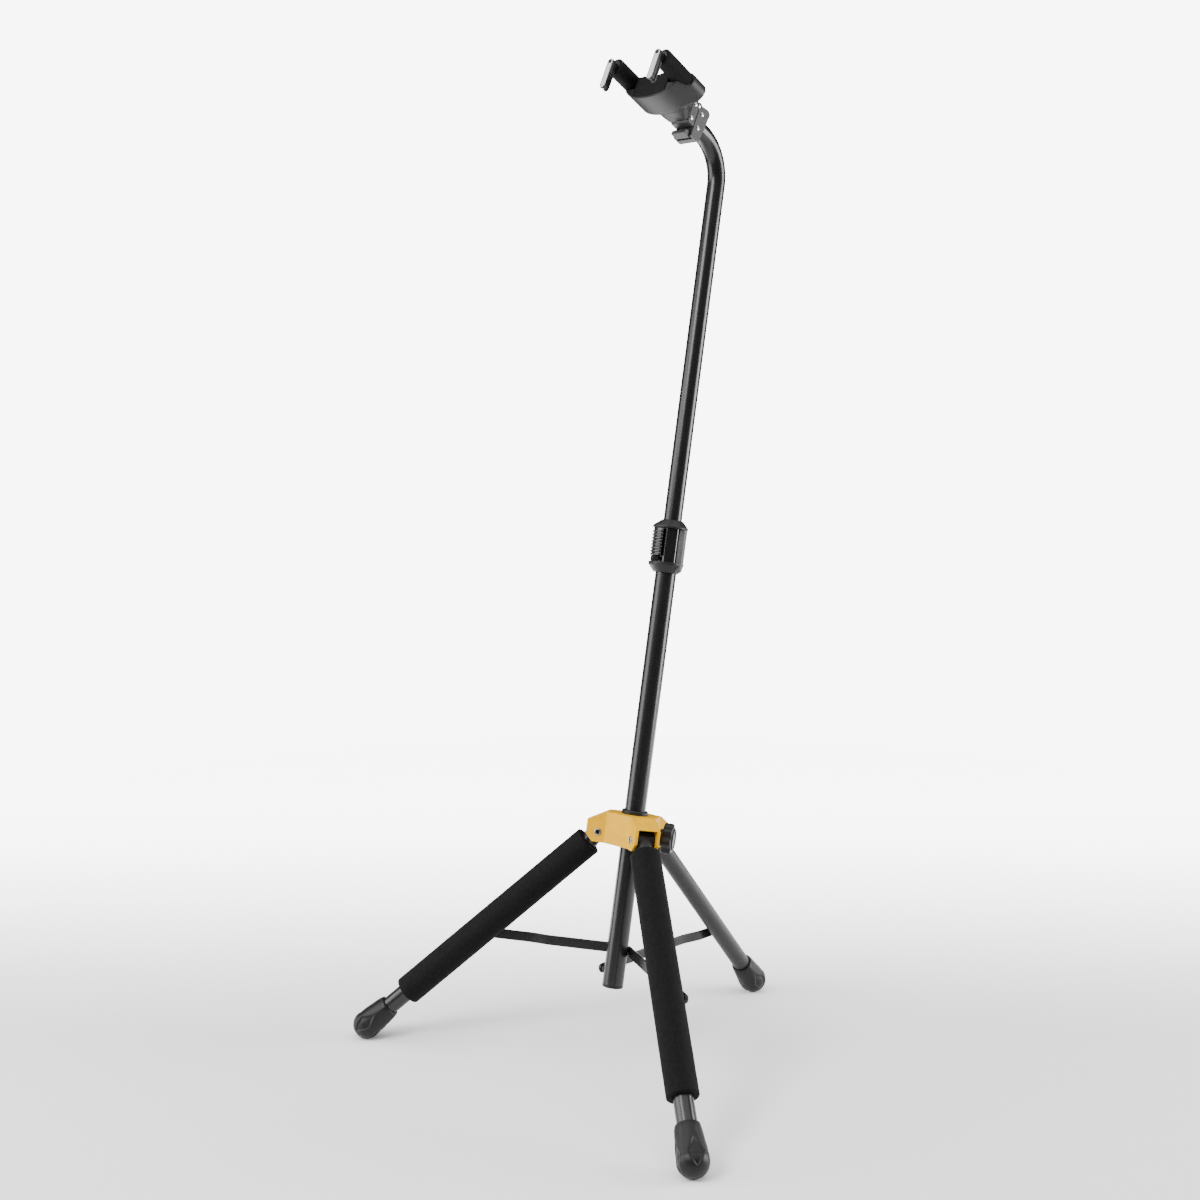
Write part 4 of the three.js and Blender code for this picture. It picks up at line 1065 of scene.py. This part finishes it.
def build_arm(name, side):
    axis = YOKE @ Matrix.Translation(Vector((side * ARM_SPACING / 2, 0, ARM_LIFT)) * MM)
    cover = sleeve_part(CORE_RADIUS + GAP, ARM_FOAM_RADIUS, SOCKET_FRONT + GAP, FINGER_BACK - 1,
                        seed=9 + side, edge=0.9, wobble=0.06, sides=88, step=1.8)
    piece(f"arm_foam_{name}", forward(cover), axis, foam)
    piece(f"grip_finger_{name}", finger_body_part(), axis, moulded_dark)
    piece(f"grip_finger_{name}", finger_layer(0.2, FINGER_BACK, FINGER_BACK + 2.6, 0.5), axis,
          moulded_grey, tag="backing")
    piece(f"finger_face_{name}", finger_layer(1.5, FINGER_FRONT - 1.4, FINGER_FRONT - 0.45, 0.3),
          axis, light_plastic)
    piece(f"finger_face_{name}", finger_rim_part(), axis, light_plastic, tag="rim")
    piece(f"finger_shaft_{name}", merged(
        shaft_button_part(), forward(rod(8.6, 65.5, 69, 0.5))), axis, moulded_dark)


build_arm("left", -1)
build_arm("right", 1)

# Nodes that stay as the CAD has them, inside other pieces.
for node_name, node in frame["nodes"].items():
    if not node.hide_render:
        node.data.materials.clear()
        node.data.materials.append(HIDDEN_FINISH[SLOT_OF[node_name]])


# ---------------------------------------------------------------- floor, light and camera
CAMERA_AZIMUTH, CAMERA_ELEVATION, CAMERA_DISTANCE = 42.49, 8.75, 1.77332
CAMERA_AIM = Vector((0, -0.07951, 0.5))
CAMERA_PITCH = 1.82
CAMERA_LENS = 45.79
BACKDROP = 8.0


def plain_floor(radius=1.8, sides=128):
    """A pale disc, which glows towards its far side so that it melts into the backdrop."""
    rim = [(p[0], p[1], 0) for p in circle(radius, 0, sides)]
    mesh = bpy.data.meshes.new("studio_floor")
    mesh.from_pydata(rim, [], [tuple(range(sides))])
    floor = bpy.data.objects.new("studio_floor", mesh)
    bpy.context.scene.collection.objects.link(floor)
    floor.location.z = -0.0002
    pale = material("pale_floor", (0.9, 0.9, 0.9), (0.88, 0.88, 0.88), 0.7, specular=0.1, mottle=3)
    nodes, links = pale.node_tree.nodes, pale.node_tree.links
    where = nodes.new("ShaderNodeTexCoord")
    away = nodes.new("ShaderNodeVectorMath")
    away.operation = "DOT_PRODUCT"
    a = math.radians(CAMERA_AZIMUTH)
    away.inputs[1].default_value = (-math.sin(a), math.cos(a), 0)
    glow = nodes.new("ShaderNodeMapRange")
    glow.interpolation_type = "SMOOTHSTEP"
    glow.inputs["From Min"].default_value = 0.0
    glow.inputs["From Max"].default_value = 1.2
    glow.inputs["To Max"].default_value = 0.8 * BACKDROP
    links.new(where.outputs["Object"], away.inputs[0])
    links.new(away.outputs["Value"], glow.inputs["Value"])
    shader = nodes["Principled BSDF"]
    shader.inputs["Emission Color"].default_value = (1, 1, 1, 1)
    links.new(glow.outputs["Result"], shader.inputs["Emission Strength"])
    mesh.materials.append(pale)


def area_light(name, azimuth, elevation, distance, width, height, power, aim=(0, 0, 0.6)):
    """A soft box that looks at aim from azimuth and elevation, in degrees."""
    light = bpy.data.lights.new(name, "AREA")
    light.shape, light.size, light.size_y, light.energy = "RECTANGLE", width, height, power
    lamp = bpy.data.objects.new(name, light)
    a, e = math.radians(azimuth), math.radians(elevation)
    back = Vector((math.sin(a) * math.cos(e), -math.cos(a) * math.cos(e), math.sin(e)))
    lamp.location = Vector(aim) + back * distance
    lamp.rotation_mode = "QUATERNION"
    lamp.rotation_quaternion = back.to_track_quat("Z", "Y")
    bpy.context.scene.collection.objects.link(lamp)


def studio_world(seen, lighting):
    """A white backdrop: brighter where it is looked at than as a light."""
    world = bpy.data.worlds.new("studio")
    world.use_nodes = True
    nodes, links = world.node_tree.nodes, world.node_tree.links
    background = nodes["Background"]
    background.inputs["Color"].default_value = (1, 1, 1, 1)
    ray = nodes.new("ShaderNodeLightPath")
    level = nodes.new("ShaderNodeMapRange")
    level.inputs["To Min"].default_value = lighting
    level.inputs["To Max"].default_value = seen
    links.new(ray.outputs["Is Camera Ray"], level.inputs["Value"])
    links.new(level.outputs["Result"], background.inputs["Strength"])
    bpy.context.scene.world = world


def studio_camera():
    data = bpy.data.cameras.new("camera")
    data.sensor_width, data.lens = 36, CAMERA_LENS
    data.clip_start, data.clip_end = 0.05, 50
    camera = bpy.data.objects.new("camera", data)
    a, e = math.radians(CAMERA_AZIMUTH), math.radians(CAMERA_ELEVATION)
    back = Vector((math.sin(a) * math.cos(e), -math.cos(a) * math.cos(e), math.sin(e)))
    right = Vector((math.cos(a), math.sin(a), 0))
    back = Matrix.Rotation(math.radians(CAMERA_PITCH), 3, right) @ back
    camera.location = CAMERA_AIM + Vector((
        math.sin(a) * math.cos(e), -math.cos(a) * math.cos(e), math.sin(e))) * CAMERA_DISTANCE
    camera.rotation_mode = "QUATERNION"
    camera.rotation_quaternion = back.to_track_quat("Z", "Y")
    bpy.context.scene.collection.objects.link(camera)
    bpy.context.scene.camera = camera


plain_floor()
studio_world(seen=BACKDROP, lighting=0.13)
area_light("strip_right", 132, 0, 2.4, 1.1, 1.5, 100, aim=(0, 0, 0.75))
area_light("soft_left", -40, 5, 2.4, 1.7, 2.0, 75)
area_light("key_front", -5, 35, 2.8, 1.2, 1.2, 75)
area_light("overhead", 30, 80, 4.5, 8.0, 8.0, 450)
studio_camera()
